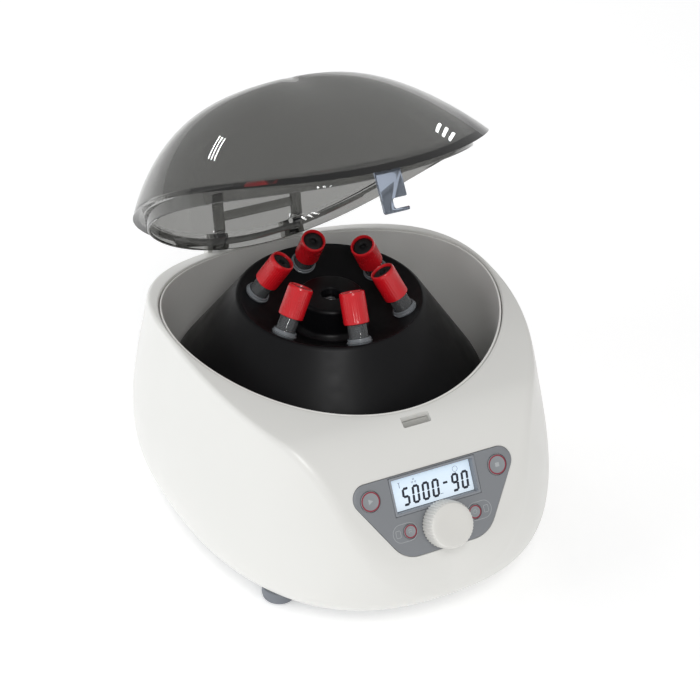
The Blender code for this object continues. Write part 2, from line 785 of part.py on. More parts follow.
def lid_dome_point(angle, t, inset):
    """A point of the dome: t runs from the apex to the rim. The front falls in a straight slope, the back is steep."""
    frontness = (1.0 - math.sin(angle)) / 2
    radius = lid_rim(angle, inset * (1.0 + 1.6 * frontness))
    rim_x, rim_y = radius * math.cos(angle), radius * math.sin(angle)
    power = 4.2 + (1.25 - 4.2) * frontness
    root = 1.2 + (1.0 - 1.2) * frontness
    x = t * rim_x
    y = LID_APEX_Y + t * (rim_y - LID_APEX_Y)
    foot = LID_SEAT
    if inset:
        foot += (LID_WALL - LID_SEAT) * t ** (0.5 + 7.5 * frontness)
    base = (arch_height(rim_y) + foot) * t ** 2 + (ARCH_TOP_Z + foot) * (1 - t ** 2)
    return Vector((x, y, base + (LID_HEIGHT - inset) * (1 - t ** power) ** (1 / root)))


def make_lid(paint, home):
    hinge = Vector((0.0, HINGE_Y, HINGE_Z))
    swing = group("lid_hinge", hinge, (-LID_OPEN, 0.0, 0.0), home)
    columns = 48
    angles = [math.tau * i / columns for i in range(columns)]
    dome_steps = (0.26, 0.5, 0.7, 0.85, 0.95, 1.0)

    def arch_ring(radius, lift):
        points = [(radius * math.cos(a), radius * math.sin(a)) for a in angles]
        return [Vector((x, y, arch_height(y) + lift)) for x, y in points]

    rings = [[lid_dome_point(0.0, 0.0, 0.0)]]
    rings += [[lid_dome_point(a, t, 0.0) for a in angles] for t in dome_steps]
    rings += [arch_ring(SKIRT_R, LID_SEAT), arch_ring(SKIRT_R, -SKIRT_DROP)]
    inner_skirt = SKIRT_R - SKIRT_WALL
    rings += [arch_ring(inner_skirt, -SKIRT_DROP), arch_ring(inner_skirt, LID_WALL)]
    rings += [[lid_dome_point(a, t, LID_WALL) for a in angles] for t in reversed(dome_steps)]
    rings.append([lid_dome_point(0.0, 0.0, LID_WALL)])
    bm = rings_mesh(rings)
    bmesh.ops.translate(bm, verts=bm.verts, vec=-hinge)
    shell = piece("lid_shell", bm, paint["smoke"], swing)
    for x in (-ARM_X, ARM_X):
        notch = block((ARM_W + 0.0016, 0.0257, 0.028), Vector((x, 0.1212, 0.1085)) - hinge)
        combine(shell, piece("notch_cutter", notch, None, swing), "DIFFERENCE")
    make_lid_tab(paint, swing, hinge)
    make_lid_arms(paint, swing, hinge)


def make_lid_tab(paint, swing, hinge):
    """The striker under the lid's front edge, with a window, open to the right, for the latch bolt."""
    top_z = arch_height(TAB_Y) + LID_SEAT - 0.0011
    height = top_z - TAB_BOTTOM_Z
    centre = Vector((0.0, TAB_Y, TAB_BOTTOM_Z + height / 2)) - hinge
    tab = piece("lid_latch_tab", block((TAB_W, TAB_THICK, height), centre, 0.0006), paint["smoke"], swing)
    window_low, window_high = -0.0015, TAB_W / 2 + 0.002
    middle = (window_low + window_high) / 2
    window_size = (window_high - window_low, 0.010, 2 * BOLT_R + 0.0020)
    window = block(window_size, Vector((middle, TAB_Y, BOLT_Z)) - hinge)
    combine(tab, piece("tab_window", window, None, swing), "DIFFERENCE")


def make_lid_arms(paint, swing, hinge):
    """Two arms from the hinge eyes up the inside of the dome's back, tied by a crossbar."""
    eye_angles = [math.radians(d) for d in range(-120, 101, 20)]
    outline = [(HINGE_Y + EYE_R * math.cos(a), HINGE_Z + EYE_R * math.sin(a)) for a in eye_angles]
    outline += [
        (0.1135, 0.1203),
        (0.1090, 0.1225),
        (0.1056, 0.1312),
        (0.1002, 0.1420),
        (0.0974, 0.1463),
        (0.0932, 0.1463),
        (0.0954, 0.1420),
        (0.1010, 0.1312),
        (0.1058, 0.1202),
        (0.1089, 0.1196),
        (0.1090, 0.1168),
        (0.1160, 0.1140),
        (0.1200, 0.1124),
    ]
    frame = None
    for x in (-ARM_X, ARM_X):
        rings = []
        for lx in (x - ARM_W / 2, x + ARM_W / 2):
            rings.append([Vector((lx, y, z)) - hinge for y, z in outline])
        arm = piece("lid_hinge_frame" if frame is None else "arm", rings_mesh(rings), paint["smoke"], swing)
        if frame is None:
            frame = arm
        else:
            combine(frame, arm, "UNION")
        hole = turned(((0.0, -0.010), (PIN_R + GAP, -0.010), (PIN_R + GAP, 0.010), (0.0, 0.010)), 12)
        eye_hole = piece("eye_hole", hole, None, swing, (x, 0.0, 0.0), (0.0, math.pi / 2, 0.0))
        combine(frame, eye_hole, "DIFFERENCE")
    bar = block((2 * ARM_X, 0.0034, 0.0065), Vector((0.0, 0.1034, 0.1305)) - hinge, 0.0008)
    combine(frame, piece("bar", bar, None, swing), "UNION")


def make_hinge_pins(paint, home):
    reach = ARM_W / 2 + 0.0004 + 0.0035
    profile = ((0.0, -reach), (PIN_R, -reach), (PIN_R, reach), (0.0, reach))
    for name, x in (("left", -ARM_X), ("right", ARM_X)):
        at = (x, HINGE_Y, HINGE_Z)
        piece("hinge_pin_" + name, turned(profile, 12), paint["steel"], home, at, (0.0, math.pi / 2, 0.0))


def make_latch(paint, home):
    box_low, box_high = Vector((0.0160, -0.1305, 0.0920)), Vector((0.0440, -0.1165, 0.1055))
    body = piece("latch_solenoid", block(box_high - box_low, (box_low + box_high) / 2, 0.0008), paint["motor"], home)
    half = 0.018
    hole_r = BOLT_R + GAP
    hole = turned(((0.0, -half), (hole_r, -half), (hole_r, half - 0.008), (0.0, half - 0.008)), 16)
    at = Vector((box_low.x + 0.012, TAB_Y, BOLT_Z))
    sideways = (0.0, math.pi / 2, 0.0)
    combine(body, piece("bolt_hole", hole, None, home, at, sideways), "DIFFERENCE")
    reach = 0.012
    bolt = ((0.0, -reach), (BOLT_R - 0.0006, -reach), (BOLT_R, -reach + 0.001), (BOLT_R, reach), (0.0, reach))
    at = Vector((box_low.x + 0.0075, TAB_Y, BOLT_Z))
    piece("latch_bolt", turned(bolt, 16), paint["steel"], home, at, sideways)


# ---------------------------------------------------------------- controls

def make_controls(paint, home):
    face = group("panel_face", PANEL_HOME, PANEL_TILT, home)
    panel = piece("control_panel", panel_body(0.0, PANEL_PROUD, PANEL_DEEP), paint["grey"], face)
    window = window_block(BEZEL_WALL + GAP, -0.010, 0.010)
    combine(panel, piece("window_cutter", window, None, face), "DIFFERENCE")
    shaft = round_block(0.0, KNOB_V, KNOB_SHAFT_R + 0.001, -0.010, 0.010)
    combine(panel, piece("shaft_cutter", shaft, None, face), "DIFFERENCE")
    for _, x, v, radius in BUTTONS:
        hole = round_block(x, v, radius + BUTTON_CLEAR, -0.010, 0.010, 20)
        combine(panel, piece("button_cutter", hole, None, face), "DIFFERENCE")
    make_display(paint, face)
    make_board(paint, face)
    make_knob(paint, face)
    for name, x, v, radius in BUTTONS:
        skin = skin_offset(x, v)
        profile = (
            (0.0, STEM_END),
            (STEM_R, STEM_END),
            (STEM_R, skin + BUTTON_BOTTOM),
            (radius, skin + BUTTON_BOTTOM),
            (radius, skin + BUTTON_TOP - 0.0004),
            (radius - 0.0005, skin + BUTTON_TOP),
            (0.0, skin + BUTTON_TOP),
        )
        piece(name, turned(profile, 20), paint["grey"], face, (x, v, 0.0))


def make_display(paint, face):
    bezel_low = -0.0058
    bezel_high = 0.0006
    bezel = window_block(BEZEL_WALL, bezel_low, bezel_high)
    made = piece("display_bezel", bezel, paint["grey"], face)
    combine(made, piece("bezel_cutter", window_block(0.0, -0.010, 0.010), None, face), "DIFFERENCE")
    glass = (WINDOW_W - 0.001, WINDOW_H - 0.001)
    base_high = bezel_low - GAP
    base_thick = 0.0030
    carrier = block((0.064, 0.028, base_thick), (0.0, 0.0, base_high - base_thick / 2), 0.0005)
    module = piece("display_module", carrier, paint["display"], face)
    depth = DISPLAY_DEEP - base_high + 0.001
    screen = block((*glass, depth), (0.0, 0.0, DISPLAY_DEEP - depth / 2))
    combine(module, piece("screen", screen, None, face), "UNION")


def make_board(paint, face):
    """The circuit board, with the encoder under the knob and a push switch under each button."""
    thick = 0.0016
    low_v, high_v = -0.0350, 0.0100
    size = (0.104, high_v - low_v, thick)
    board = piece("control_board", block(size, (0.0, (low_v + high_v) / 2, BOARD_DEEP - thick / 2)), paint["board"], face)
    parts = [(0.0, KNOB_V, 0.012, KNOB_SHAFT_DEEP - GAP)]
    parts += [(x, v, 0.006, STEM_END - 0.0010) for _, x, v, _ in BUTTONS]
    for x, v, width, top in parts:
        bottom = BOARD_DEEP - thick / 2
        tall = block((width, width, top - bottom), (x, v, (top + bottom) / 2))
        combine(board, piece("board_part", tall, None, face), "UNION")


def make_knob(paint, face):
    """A fluted cap on its own shaft. The flutes are a small wave around the rim."""
    steps = 48
    rows = (
        (0.0, KNOB_SHAFT_DEEP, 0.0),
        (KNOB_SHAFT_R, KNOB_SHAFT_DEEP, 0.0),
        (KNOB_SHAFT_R, KNOB_BASE, 0.0),
        (KNOB_R - 0.0006, KNOB_BASE, 0.0003),
        (KNOB_R, KNOB_BASE + 0.0010, 0.0004),
        (KNOB_R - 0.0003, KNOB_TOP - 0.0016, 0.0004),
        (KNOB_R - 0.0014, KNOB_TOP - 0.0003, 0.0),
        (KNOB_R - 0.0030, KNOB_TOP, 0.0),
        (0.0, KNOB_TOP, 0.0),
    )
    rings = []
    for radius, height, wave in rows:
        if radius == 0.0:
            rings.append([Vector((0.0, 0.0, height))])
            continue
        ring = []
        for i in range(steps):
            a = math.tau * i / steps
            r = radius - (wave if i % 2 else 0.0)
            ring.append(Vector((r * math.cos(a), r * math.sin(a), height)))
        rings.append(ring)
    piece("speed_knob", rings_mesh(rings), paint["knob"], face, (0.0, KNOB_V, 0.0))


# ---------------------------------------------------------------- rear fittings

def make_rear(paint, home):
    at, turn = rear_place(INLET_X)
    rear = group("inlet_place", at, (0.0, 0.0, turn), home)
    flange_y = 0.0010
    inlet = piece("power_inlet", block((0.0310, 0.0024, 0.0240), (0.0, flange_y + 0.0012, 0.0), 0.0005), paint["black"], rear)
    shell = block((0.0270, 0.0190, 0.0196), (0.0, flange_y + 0.001 - 0.0095, 0.0))
    combine(inlet, piece("inlet_shell", shell, None, rear), "UNION")
    mouth_depth = 0.0160
    mouth = block((0.0230, mouth_depth + 0.004, 0.0160), (0.0, flange_y + 0.0024 - mouth_depth / 2 + 0.002, 0.0))
    combine(inlet, piece("inlet_mouth", mouth, None, rear), "DIFFERENCE")
    blade_base = flange_y + 0.0024 - mouth_depth
    blade_l = 0.0080
    rooted = 0.0010
    for x, z in ((0.0, 0.0020), (-0.0070, -0.0020), (0.0070, -0.0020)):
        blade = block((0.0020, blade_l + rooted, 0.0040), (x, blade_base + (blade_l - rooted) / 2, z))
        combine(inlet, piece("blade", blade, None, rear), "UNION")

    at, turn = rear_place(SWITCH_X)
    rear = group("switch_place", at, (0.0, 0.0, turn), home)
    frame = piece("switch_frame", block((0.0220, 0.0022, 0.0160), (0.0, flange_y + 0.0011, 0.0), 0.0005), paint["black"], rear)
    shell = block((0.0188, 0.0150, 0.0128), (0.0, flange_y + 0.001 - 0.0075, 0.0))
    combine(frame, piece("switch_shell", shell, None, rear), "UNION")
    well = block((0.0164, 0.0120, 0.0104), (0.0, flange_y + 0.0022 - 0.0060 + 0.002, 0.0))
    combine(frame, piece("switch_well", well, None, rear), "DIFFERENCE")
    rocker_turn = math.radians(7.0)
    pivot = (0.0, flange_y - 0.0020, 0.0)
    outline = ((-0.0070, -0.0012), (0.0070, -0.0012), (0.0072, 0.0046), (0.0, 0.0036), (-0.0072, 0.0046))
    rings = [[Vector((x, y, z)) for x, y in outline] for z in (-0.0046, 0.0046)]
    piece("switch_rocker", rings_mesh(rings), paint["black"], rear, pivot, (0.0, 0.0, rocker_turn))


def make_power_board(paint, home):
    thick = 0.0016
    floor = 0.0085
    centre = Vector((0.0, 0.094, floor))
    board = piece("power_board", block((0.078, 0.042, thick), centre), paint["board"], home)
    for x, width, height in ((-0.026, 0.016, 0.020), (0.0, 0.022, 0.024), (0.026, 0.014, 0.022)):
        part = block((width, 0.020, height), centre + Vector((x, -0.002, height / 2)))
        combine(board, piece("board_part", part, None, home), "UNION")
    for x in (-0.034, 0.034):
        post_top = floor
        post_low = BASE_THICK + GAP
        post = block((0.006, 0.006, post_top - post_low), centre + Vector((x, 0.0, (post_low - floor) / 2)))
        combine(board, piece("board_post", post, None, home), "UNION")


def build():
    for old in list(bpy.data.objects):
        bpy.data.objects.remove(old)
    paint = make_materials()
    home = group("housing_home", HOUSING_HOME)
    make_housing(paint, home)
    make_base(paint, home)
    make_liner(paint, home)
    shaft_low = make_drive(paint, home)
    spin = group("rotor_axis", (0.0, 0.0, 0.0), parent=home)
    make_rotor(paint, spin, shaft_low)
    make_tubes(paint, spin)
    make_lid(paint, home)
    make_hinge_pins(paint, home)
    make_latch(paint, home)
    make_controls(paint, home)
    make_rear(paint, home)
    make_power_board(paint, home)


build()
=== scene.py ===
"""Looks for a benchtop laboratory centrifuge: fine pieces, materials, light and camera."""
import math

import bmesh
import bpy
from mathutils import Euler, Matrix, Vector


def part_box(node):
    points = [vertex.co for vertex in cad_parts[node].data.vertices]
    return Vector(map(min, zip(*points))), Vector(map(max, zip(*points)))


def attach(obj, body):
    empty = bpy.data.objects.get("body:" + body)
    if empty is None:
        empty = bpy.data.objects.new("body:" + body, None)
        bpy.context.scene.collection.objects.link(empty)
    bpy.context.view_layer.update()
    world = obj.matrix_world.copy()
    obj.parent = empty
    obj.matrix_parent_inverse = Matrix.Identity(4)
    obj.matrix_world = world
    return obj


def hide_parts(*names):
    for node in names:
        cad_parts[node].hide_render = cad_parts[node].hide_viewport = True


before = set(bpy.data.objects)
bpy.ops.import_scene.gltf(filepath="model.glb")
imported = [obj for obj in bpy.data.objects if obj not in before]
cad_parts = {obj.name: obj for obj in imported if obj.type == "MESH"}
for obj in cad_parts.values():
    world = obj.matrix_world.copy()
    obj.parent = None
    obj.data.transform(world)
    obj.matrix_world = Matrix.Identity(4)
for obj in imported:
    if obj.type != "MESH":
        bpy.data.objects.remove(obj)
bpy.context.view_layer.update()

# ---- sizes, in metres

ROTOR_LOW, ROTOR_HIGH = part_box("rotor")
BASE_LOW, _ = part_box("base_plate")
ROTOR_Y = (ROTOR_LOW.y + ROTOR_HIGH.y) / 2
HOME = Matrix.Translation((0.0, ROTOR_Y, BASE_LOW.z))

# The housing, measured from the rotor's axis and the housing's lower edge
WALL = 0.003
WALL_ROWS = (
    (0.000, 0.1140, 0.1570, 0.1220),
    (0.006, 0.1205, 0.1660, 0.1280),
    (0.012, 0.1245, 0.1725, 0.1315),
    (0.020, 0.1278, 0.1785, 0.1342),
    (0.032, 0.1300, 0.1810, 0.1360),
    (0.050, 0.1305, 0.1795, 0.1365),
    (0.070, 0.1290, 0.1740, 0.1352),
    (0.090, 0.1262, 0.1665, 0.1325),
    (0.108, 0.1230, 0.1595, 0.1292),
    (0.122, 0.1208, 0.1535, 0.1265),
    (0.142, 0.1180, 0.1400, 0.1225),
)
FRONT_ROUNDNESS = 2.45
BACK_ROUNDNESS = 2.2
BOWL_R = 0.115
ARCH_TOP_Y = -0.016
ARCH_TOP_Z = 0.1391
ARCH_SAG = 0.0202
PANEL_Y = -0.1516
PANEL_Z = 0.0885
PANEL_SLOPE = math.radians(57.0)
SIDE_CREASE = 0.003
FRONT_CREASE = 0.026
CREASE_START = math.radians(45.0)
REAR_X = 0.023
REAR_Z = 0.032

LINER_R = 0.1144
LINER_WALL = 0.0015
LINER_DROP = 0.0012
LINER_FLOOR = 0.0560
BOOT_HOLE_R = 0.014

ROTOR_TOP_R = 0.0625
ROTOR_TOP_Z = 0.1407
ROTOR_EDGE_R = 0.1080
ROTOR_EDGE_Z = 0.0750
ROTOR_BOTTOM_Z = 0.0640
SHAFT_HOLE_R = 0.0043
HUB_R = 0.0225
WELL_R = 0.0068
WELL_Z = 0.1285
BORE_R = 0.0083

TUBES = 6
TUBE_PHASE = math.radians(25.9)
TUBE_TILT = math.radians(31.0)
TUBE_RING_R = 0.0328
TUBE_RING_Z = 0.1629
CAP_R = 0.00845
CAP_BORE_R = 0.00685
CAP_LENGTH = 0.021
TUBE_R = 0.0065
TUBE_WALL = 0.0010
TUBE_START = 0.0050
TUBE_END = 0.1040
SLEEVE_R = 0.0079
SLEEVE_BORE_R = 0.0069
SLEEVE_START = 0.0305
SLEEVE_END = 0.1060
DISH_START = 0.0335

HINGE = Vector((0.0, 0.1240, 0.1144))
LID_OPEN = math.radians(38.4)
LID_HALF_W = 0.1192
LID_FRONT = 0.1330
LID_BACK = 0.1195
LID_SEAT = 0.0005
LID_WALL = 0.0025
LID_HEIGHT = 0.0620
INSIDE_CAD = 0.0001  # keeps finer skins inside the faceted CAD box
LID_APEX_Y = -0.0095
SKIRT_R = 0.1114
SKIRT_WALL = 0.0020
SKIRT_DROP = 0.0085
ARM_X = 0.030
ARM_W = 0.007
EYE_R = 0.0040
TAB_Y = -0.1220
TAB_W = 0.017
TAB_THICK = 0.0026
TAB_BOTTOM = 0.0935
BOLT_Z = 0.0990
SLOT_W = 0.020
SLOT_DEPTH = 0.0064

# The control panel, in its own plane: x across, v up the slope, h out of it
PANEL_TOP = 0.0133
PANEL_BOTTOM = -0.0400
PANEL_TOP_HALF = 0.0640
PANEL_BOTTOM_HALF = 0.0300
PANEL_TOP_CORNER = 0.009
PANEL_BOTTOM_CORNER = 0.019
PANEL_PROUD = 0.0004
RECESS = -0.0016
WINDOW_W = 0.0580
WINDOW_H = 0.0214
BEZEL_WALL = 0.0016
SCREEN_H = -0.0044
KNOB_V = -0.0244
KNOB_R = 0.0155
KNOB_BASE = 0.0011
KNOB_TOP = 0.0150
BUTTONS = {
    "button_start": (-0.0455, 0.0020, 0.0066, "start_key"),
    "button_stop": (0.0455, 0.0020, 0.0066, "stop_key"),
    "button_speed": (-0.0233, -0.0232, 0.0046, "speed_key"),
    "button_time": (0.0233, -0.0232, 0.0046, "time_key"),
}
BUTTON_TOP = 0.0010
FACE = HOME @ Matrix.Translation((0.0, PANEL_Y, PANEL_Z)) @ Matrix.Rotation(PANEL_SLOPE, 4, "X")
LID = HOME @ Matrix.Translation(HINGE) @ Matrix.Rotation(-LID_OPEN, 4, "X") @ Matrix.Translation(-HINGE)

# An outline's (x, y) and thickness become (y, z) and x, or (x, z) and -y
SIDEWAYS = Matrix(((0.0, 0.0, 1.0, 0.0), (1.0, 0.0, 0.0, 0.0), (0.0, 1.0, 0.0, 0.0), (0.0, 0.0, 0.0, 1.0)))
UPRIGHT = Matrix(((1.0, 0.0, 0.0, 0.0), (0.0, 0.0, -1.0, 0.0), (0.0, 1.0, 0.0, 0.0), (0.0, 0.0, 0.0, 1.0)))


# ---- mesh helpers

def full_turn(steps):
    return [math.tau * i / steps for i in range(steps)]


def placed(bm, matrix):
    bmesh.ops.transform(bm, matrix=matrix, verts=bm.verts)
    return bm


def linked(name, bm):
    """A new object in the scene from a closed bmesh, which is used up."""
    bmesh.ops.recalc_face_normals(bm, faces=bm.faces)
    mesh = bpy.data.meshes.new(name)
    bm.to_mesh(mesh)
    bm.free()
    made = bpy.data.objects.new(name, mesh)
    bpy.context.scene.collection.objects.link(made)
    return made


def shade(mesh, sharp):
    """Smooth shading that breaks at edges sharper than the angle in degrees."""
    mesh.shade_smooth()
    mesh.set_sharp_from_angle(angle=math.radians(sharp))


def add(name, bm, paint, body="housing", place=HOME, sharp=35.0, replaces=()):
    """Puts a bmesh in place in the frame as a named piece that rides on a body."""
    made = linked(name, placed(bm, place))
    made.data.materials.append(PAINT[paint])
    shade(made.data, sharp)
    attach(made, body)
    if replaces:
        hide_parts(*replaces)
    return made


def cut(made, bm, place=HOME):
    """Cuts a closed shape away from a piece."""
    tool = linked("cutter", placed(bm, place))
    boolean = made.modifiers.new("cut", "BOOLEAN")
    boolean.operation = "DIFFERENCE"
    boolean.solver = "EXACT"
    boolean.object = tool
    bpy.context.view_layer.update()
    seen = made.evaluated_get(bpy.context.evaluated_depsgraph_get())
    made.data = bpy.data.meshes.new_from_object(seen)
    made.modifiers.clear()
    bpy.data.objects.remove(tool)
    shade(made.data, 32.0)


def joined(*parts):
    """One bmesh out of several that don't touch."""
    whole = bmesh.new()
    for part in parts:
        mesh = bpy.data.meshes.new("part")
        part.to_mesh(mesh)
        part.free()
        whole.from_mesh(mesh)
        bpy.data.meshes.remove(mesh)
    return whole


def rings_mesh(rings, closed=False):
    """A closed mesh through rings of points; one point is a pole, and closed links the last ring to the first."""
    bm = bmesh.new()
    rows = [[bm.verts.new(p) for p in ring] for ring in rings]
    pairs = list(zip(rows, rows[1:]))
    if closed:
        pairs.append((rows[-1], rows[0]))
    for low, high in pairs:
        count = max(len(low), len(high))
        for i in range(count):
            j = (i + 1) % count
            corners = [low[i % len(low)], low[j % len(low)], high[j % len(high)], high[i % len(high)]]
            bm.faces.new(dict.fromkeys(corners))
    if not closed:
        for end in (rows[0], rows[-1]):
            if len(end) > 2:
                bm.faces.new(end)
    return bm


def turned(profile, steps=96, closed=False):
    """A body of revolution about Z from (radius, height) points; a point on the axis becomes a pole."""
    angles = full_turn(steps)
    rings = []
    for radius, height in profile:
        around = angles if radius else angles[:1]
        rings.append([Vector((radius * math.cos(a), radius * math.sin(a), height)) for a in around])
    return rings_mesh(rings, closed)


def ribbed(rows, ribs, wave, deep, closed=False):
    """A turned body with lengthwise ribs, from (radius, height, share of the ribs' depth) rows."""
    angles = full_turn(ribs * len(wave))
    rings = []
    for radius, height, share in rows:
        ring = []
        for i, a in enumerate(angles if radius else angles[:1]):
            r = radius - deep * share * wave[i % len(wave)]
            ring.append(Vector((r * math.cos(a), r * math.sin(a), height)))
        rings.append(ring)
    return rings_mesh(rings, closed)


def bend(start, corner, end, arc):
    """Points of a quadratic curve that rounds a corner."""
    steps = (k / arc for k in range(arc + 1))
    return [tuple(start * (1 - t) ** 2 + corner * 2 * t * (1 - t) + end * t ** 2) for t in steps]


def filleted(profile, radius, arc=4, closed=True):
    """The same profile with its corners rounded, as far as the sides next to a corner allow."""
    made = []
    count = len(profile)
    for i, point in enumerate(profile):
        here = Vector(point)
        if not closed and i in (0, count - 1):
            made.append(tuple(here))
            continue
        before = Vector(profile[i - 1]) - here
        after = Vector(profile[(i + 1) % count]) - here
        reach = min(radius, before.length * 0.45, after.length * 0.45)
        made += bend(here + before.normalized() * reach, here, here + after.normalized() * reach, arc)
    return made


def softened(corners, arc=4):
    """An outline whose corners, given as (x, y, reach), are softened; it may turn either way."""
    made = []
    count = len(corners)
    for i, (x, y, reach) in enumerate(corners):
        here = Vector((x, y))
        before = Vector(corners[i - 1][:2]) - here
        after = Vector(corners[(i + 1) % count][:2]) - here
        made += bend(here + before.normalized() * reach, here, here + after.normalized() * reach, arc)
    return made


def circle(x, v, radius, steps=48):
    return [(x + radius * math.cos(a), v + radius * math.sin(a)) for a in full_turn(steps)]


def block(size, centre, bevel=0.0, segments=3):
    bm = bmesh.new()
    bmesh.ops.create_cube(bm, size=1.0, matrix=Matrix.Translation(centre) @ Matrix.Diagonal((*size, 1.0)))
    if bevel:
        bmesh.ops.bevel(bm, geom=bm.edges[:], offset=bevel, segments=segments, affect="EDGES", profile=0.5)
    return bm


def prism(outline, low, high, bevel=0.0):
    """A plate along Z from an outline of (x, y) points, with its two rims rounded."""
    bm = rings_mesh([[Vector((x, y, z)) for x, y in outline] for z in (low, high)])
    if bevel:
        rims = [e for e in bm.edges if abs(e.verts[0].co.z - e.verts[1].co.z) < 1e-7]
        bmesh.ops.bevel(bm, geom=rims, offset=bevel, segments=2, affect="EDGES", profile=0.5)
    return bm


def rounded_outline(corners, arc_steps):
    """Closed outline of (x, y) points from corners given as (x, y, corner radius)."""
    outline = []
    count = len(corners)
    for i, (x, y, radius) in enumerate(corners):
        here = Vector((x, y))
        back = (Vector(corners[i - 1][:2]) - here).normalized()
        ahead = (Vector(corners[(i + 1) % count][:2]) - here).normalized()
        half = math.acos(max(-1.0, min(1.0, back.dot(ahead)))) / 2
        reach = radius / math.tan(half)
        centre = here + (back + ahead).normalized() * radius / math.sin(half)
        start, end = here + back * reach - centre, here + ahead * reach - centre
        turn = start.angle_signed(end)
        for k in range(arc_steps + 1):
            spun = Matrix.Rotation(-turn * k / arc_steps, 2) @ start
            outline.append((centre.x + spun.x, centre.y + spun.y))
    return outline


def rounded_rectangle(half_w, half_h, radius, centre=(0.0, 0.0), arc_steps=8):
    cx, cy = centre
    corners = (
        (cx - half_w, cy + half_h, radius),
        (cx - half_w, cy - half_h, radius),
        (cx + half_w, cy - half_h, radius),
        (cx + half_w, cy + half_h, radius),
    )
    return rounded_outline(corners, arc_steps)


def band(outline, inner, low, high):
    """A closed frame between two outlines with the same number of points."""
    levels = ((outline, low), (outline, high), (inner, high), (inner, low))
    return rings_mesh([[Vector((x, y, z)) for x, y in points] for points, z in levels], closed=True)


# ---- the housing's surface

def ease(t):
    t = min(max(t, 0.0), 1.0)
    return t * t


def curve_through(rows, at, column):
    """Catmull-Rom value of one column of a table whose first column is the position."""
    last = len(rows) - 2
    i = 0
    while i < last and rows[i + 1][0] < at:
        i += 1
    before = rows[max(i - 1, 0)]
    here, there = rows[i], rows[i + 1]
    after = rows[min(i + 2, len(rows) - 1)]
    span = there[0] - here[0]
    t = (at - here[0]) / span
    slope_here = (there[column] - before[column]) / (there[0] - before[0])
    slope_there = (after[column] - here[column]) / (after[0] - here[0])
    a = (2 * t ** 3 - 3 * t ** 2 + 1) * here[column] + (t ** 3 - 2 * t ** 2 + t) * span * slope_here
    return a + (3 * t ** 2 - 2 * t ** 3) * there[column] + (t ** 3 - t ** 2) * span * slope_there


def polar_radius(angle, half_w, front, back, front_n=FRONT_ROUNDNESS, back_n=BACK_ROUNDNESS):
    """Distance from the rotor axis to a superellipse whose front and back reach differ."""
    c, s = abs(math.cos(angle)), abs(math.sin(angle))
    reach, n = (front, front_n) if math.sin(angle) < 0 else (back, back_n)
    return ((c / half_w) ** n + (s / reach) ** n) ** (-1.0 / n)


def arch_height(y):
    return ARCH_TOP_Z - ARCH_SAG * ((y - ARCH_TOP_Y) / BOWL_R) ** 2


def arch_ring(radius, lift, angles):
    """A ring on the bowl's axis that follows the arch at a height above it."""
    points = [(radius * math.cos(a), radius * math.sin(a)) for a in angles]
    return [Vector((x, y, arch_height(y) + lift)) for x, y in points]


def top_height(y):
    """Height of the top surface: the arch, a bend in front of the bowl, then the straight slope of the panel."""
    y_rim = -BOWL_R
    if y >= y_rim:
        return arch_height(y)
    fall = math.tan(PANEL_SLOPE)
    if y <= PANEL_Y:
        return PANEL_Z - fall * (PANEL_Y - y)
    rim_fall = 2 * ARCH_SAG * (ARCH_TOP_Y - y_rim) / BOWL_R ** 2
    span = y_rim - PANEL_Y
    t = (y_rim - y) / span
    upper = (2 * t ** 3 - 3 * t ** 2 + 1) * arch_height(y_rim) - (t ** 3 - 2 * t ** 2 + t) * span * rim_fall
    return upper + (3 * t ** 2 - 2 * t ** 3) * PANEL_Z - (t ** 3 - t ** 2) * span * fall


def wall_radius(angle, z, inset=0.0):
    half_w, front, back = (curve_through(WALL_ROWS, z, column) for column in (1, 2, 3))
    return polar_radius(angle, half_w, front, back) - inset


def section(angle, inset, wall_rows, crease_rows, top_rows):
    """(radius, height) points of the housing's skin at one angle, from its lower edge up to the bowl's opening."""
    rise = math.sin(angle)

    def top_at(radius):
        return top_height(radius * rise) - inset

    low, high = 0.010, 0.150
    for _ in range(40):
        z = (low + high) / 2
        if z > top_at(wall_radius(angle, min(z, WALL_ROWS[-1][0]), inset)):
            high = z
        else:
            low = z
    corner_z = (low + high) / 2
    corner_r = wall_radius(angle, corner_z, inset)
    forward = ease((-math.degrees(math.asin(rise)) - math.degrees(CREASE_START)) / 45.0)
    width = SIDE_CREASE + (FRONT_CREASE - SIDE_CREASE) * forward
    width = min(width, 0.8 * (corner_r - BOWL_R))
    slope = (top_at(corner_r - 0.001) - top_at(corner_r)) / 0.001
    end_r = corner_r - width / math.hypot(1.0, slope)
    from_wall = Vector((wall_radius(angle, corner_z - width, inset), corner_z - width))
    to_top = Vector((end_r, top_at(end_r)))
    heights = (from_wall.y * i / wall_rows for i in range(wall_rows))
    points = [(wall_radius(angle, z, inset), z) for z in heights]
    points += bend(from_wall, Vector((corner_r, corner_z)), to_top, crease_rows)
    lip = 0.0 if inset == WALL else 0.0012
    for i in range(1, top_rows + 1):
        radius = end_r + (BOWL_R + lip - end_r) * i / top_rows
        points.append((radius, top_at(radius)))
    for k in range(1, 5 if lip else 1):
        a = math.pi / 2 * k / 4
        radius = BOWL_R + lip - lip * math.sin(a)
        points.append((radius, top_at(radius) - lip * (1 - math.cos(a))))
    return points


def surface_height(x, y):
    """Height of the housing's outer skin over a point in front of the bowl."""
    radius = math.hypot(x, y)
    points = section(math.atan2(y, x), 0.0, 4, 10, 12)[4:]
    for (r0, z0), (r1, z1) in zip(points, points[1:]):
        if r1 <= radius <= r0:
            return z1 + (z0 - z1) * (radius - r1) / max(r0 - r1, 1e-9)
    return points[0][1] if radius > points[0][0] else points[-1][1]


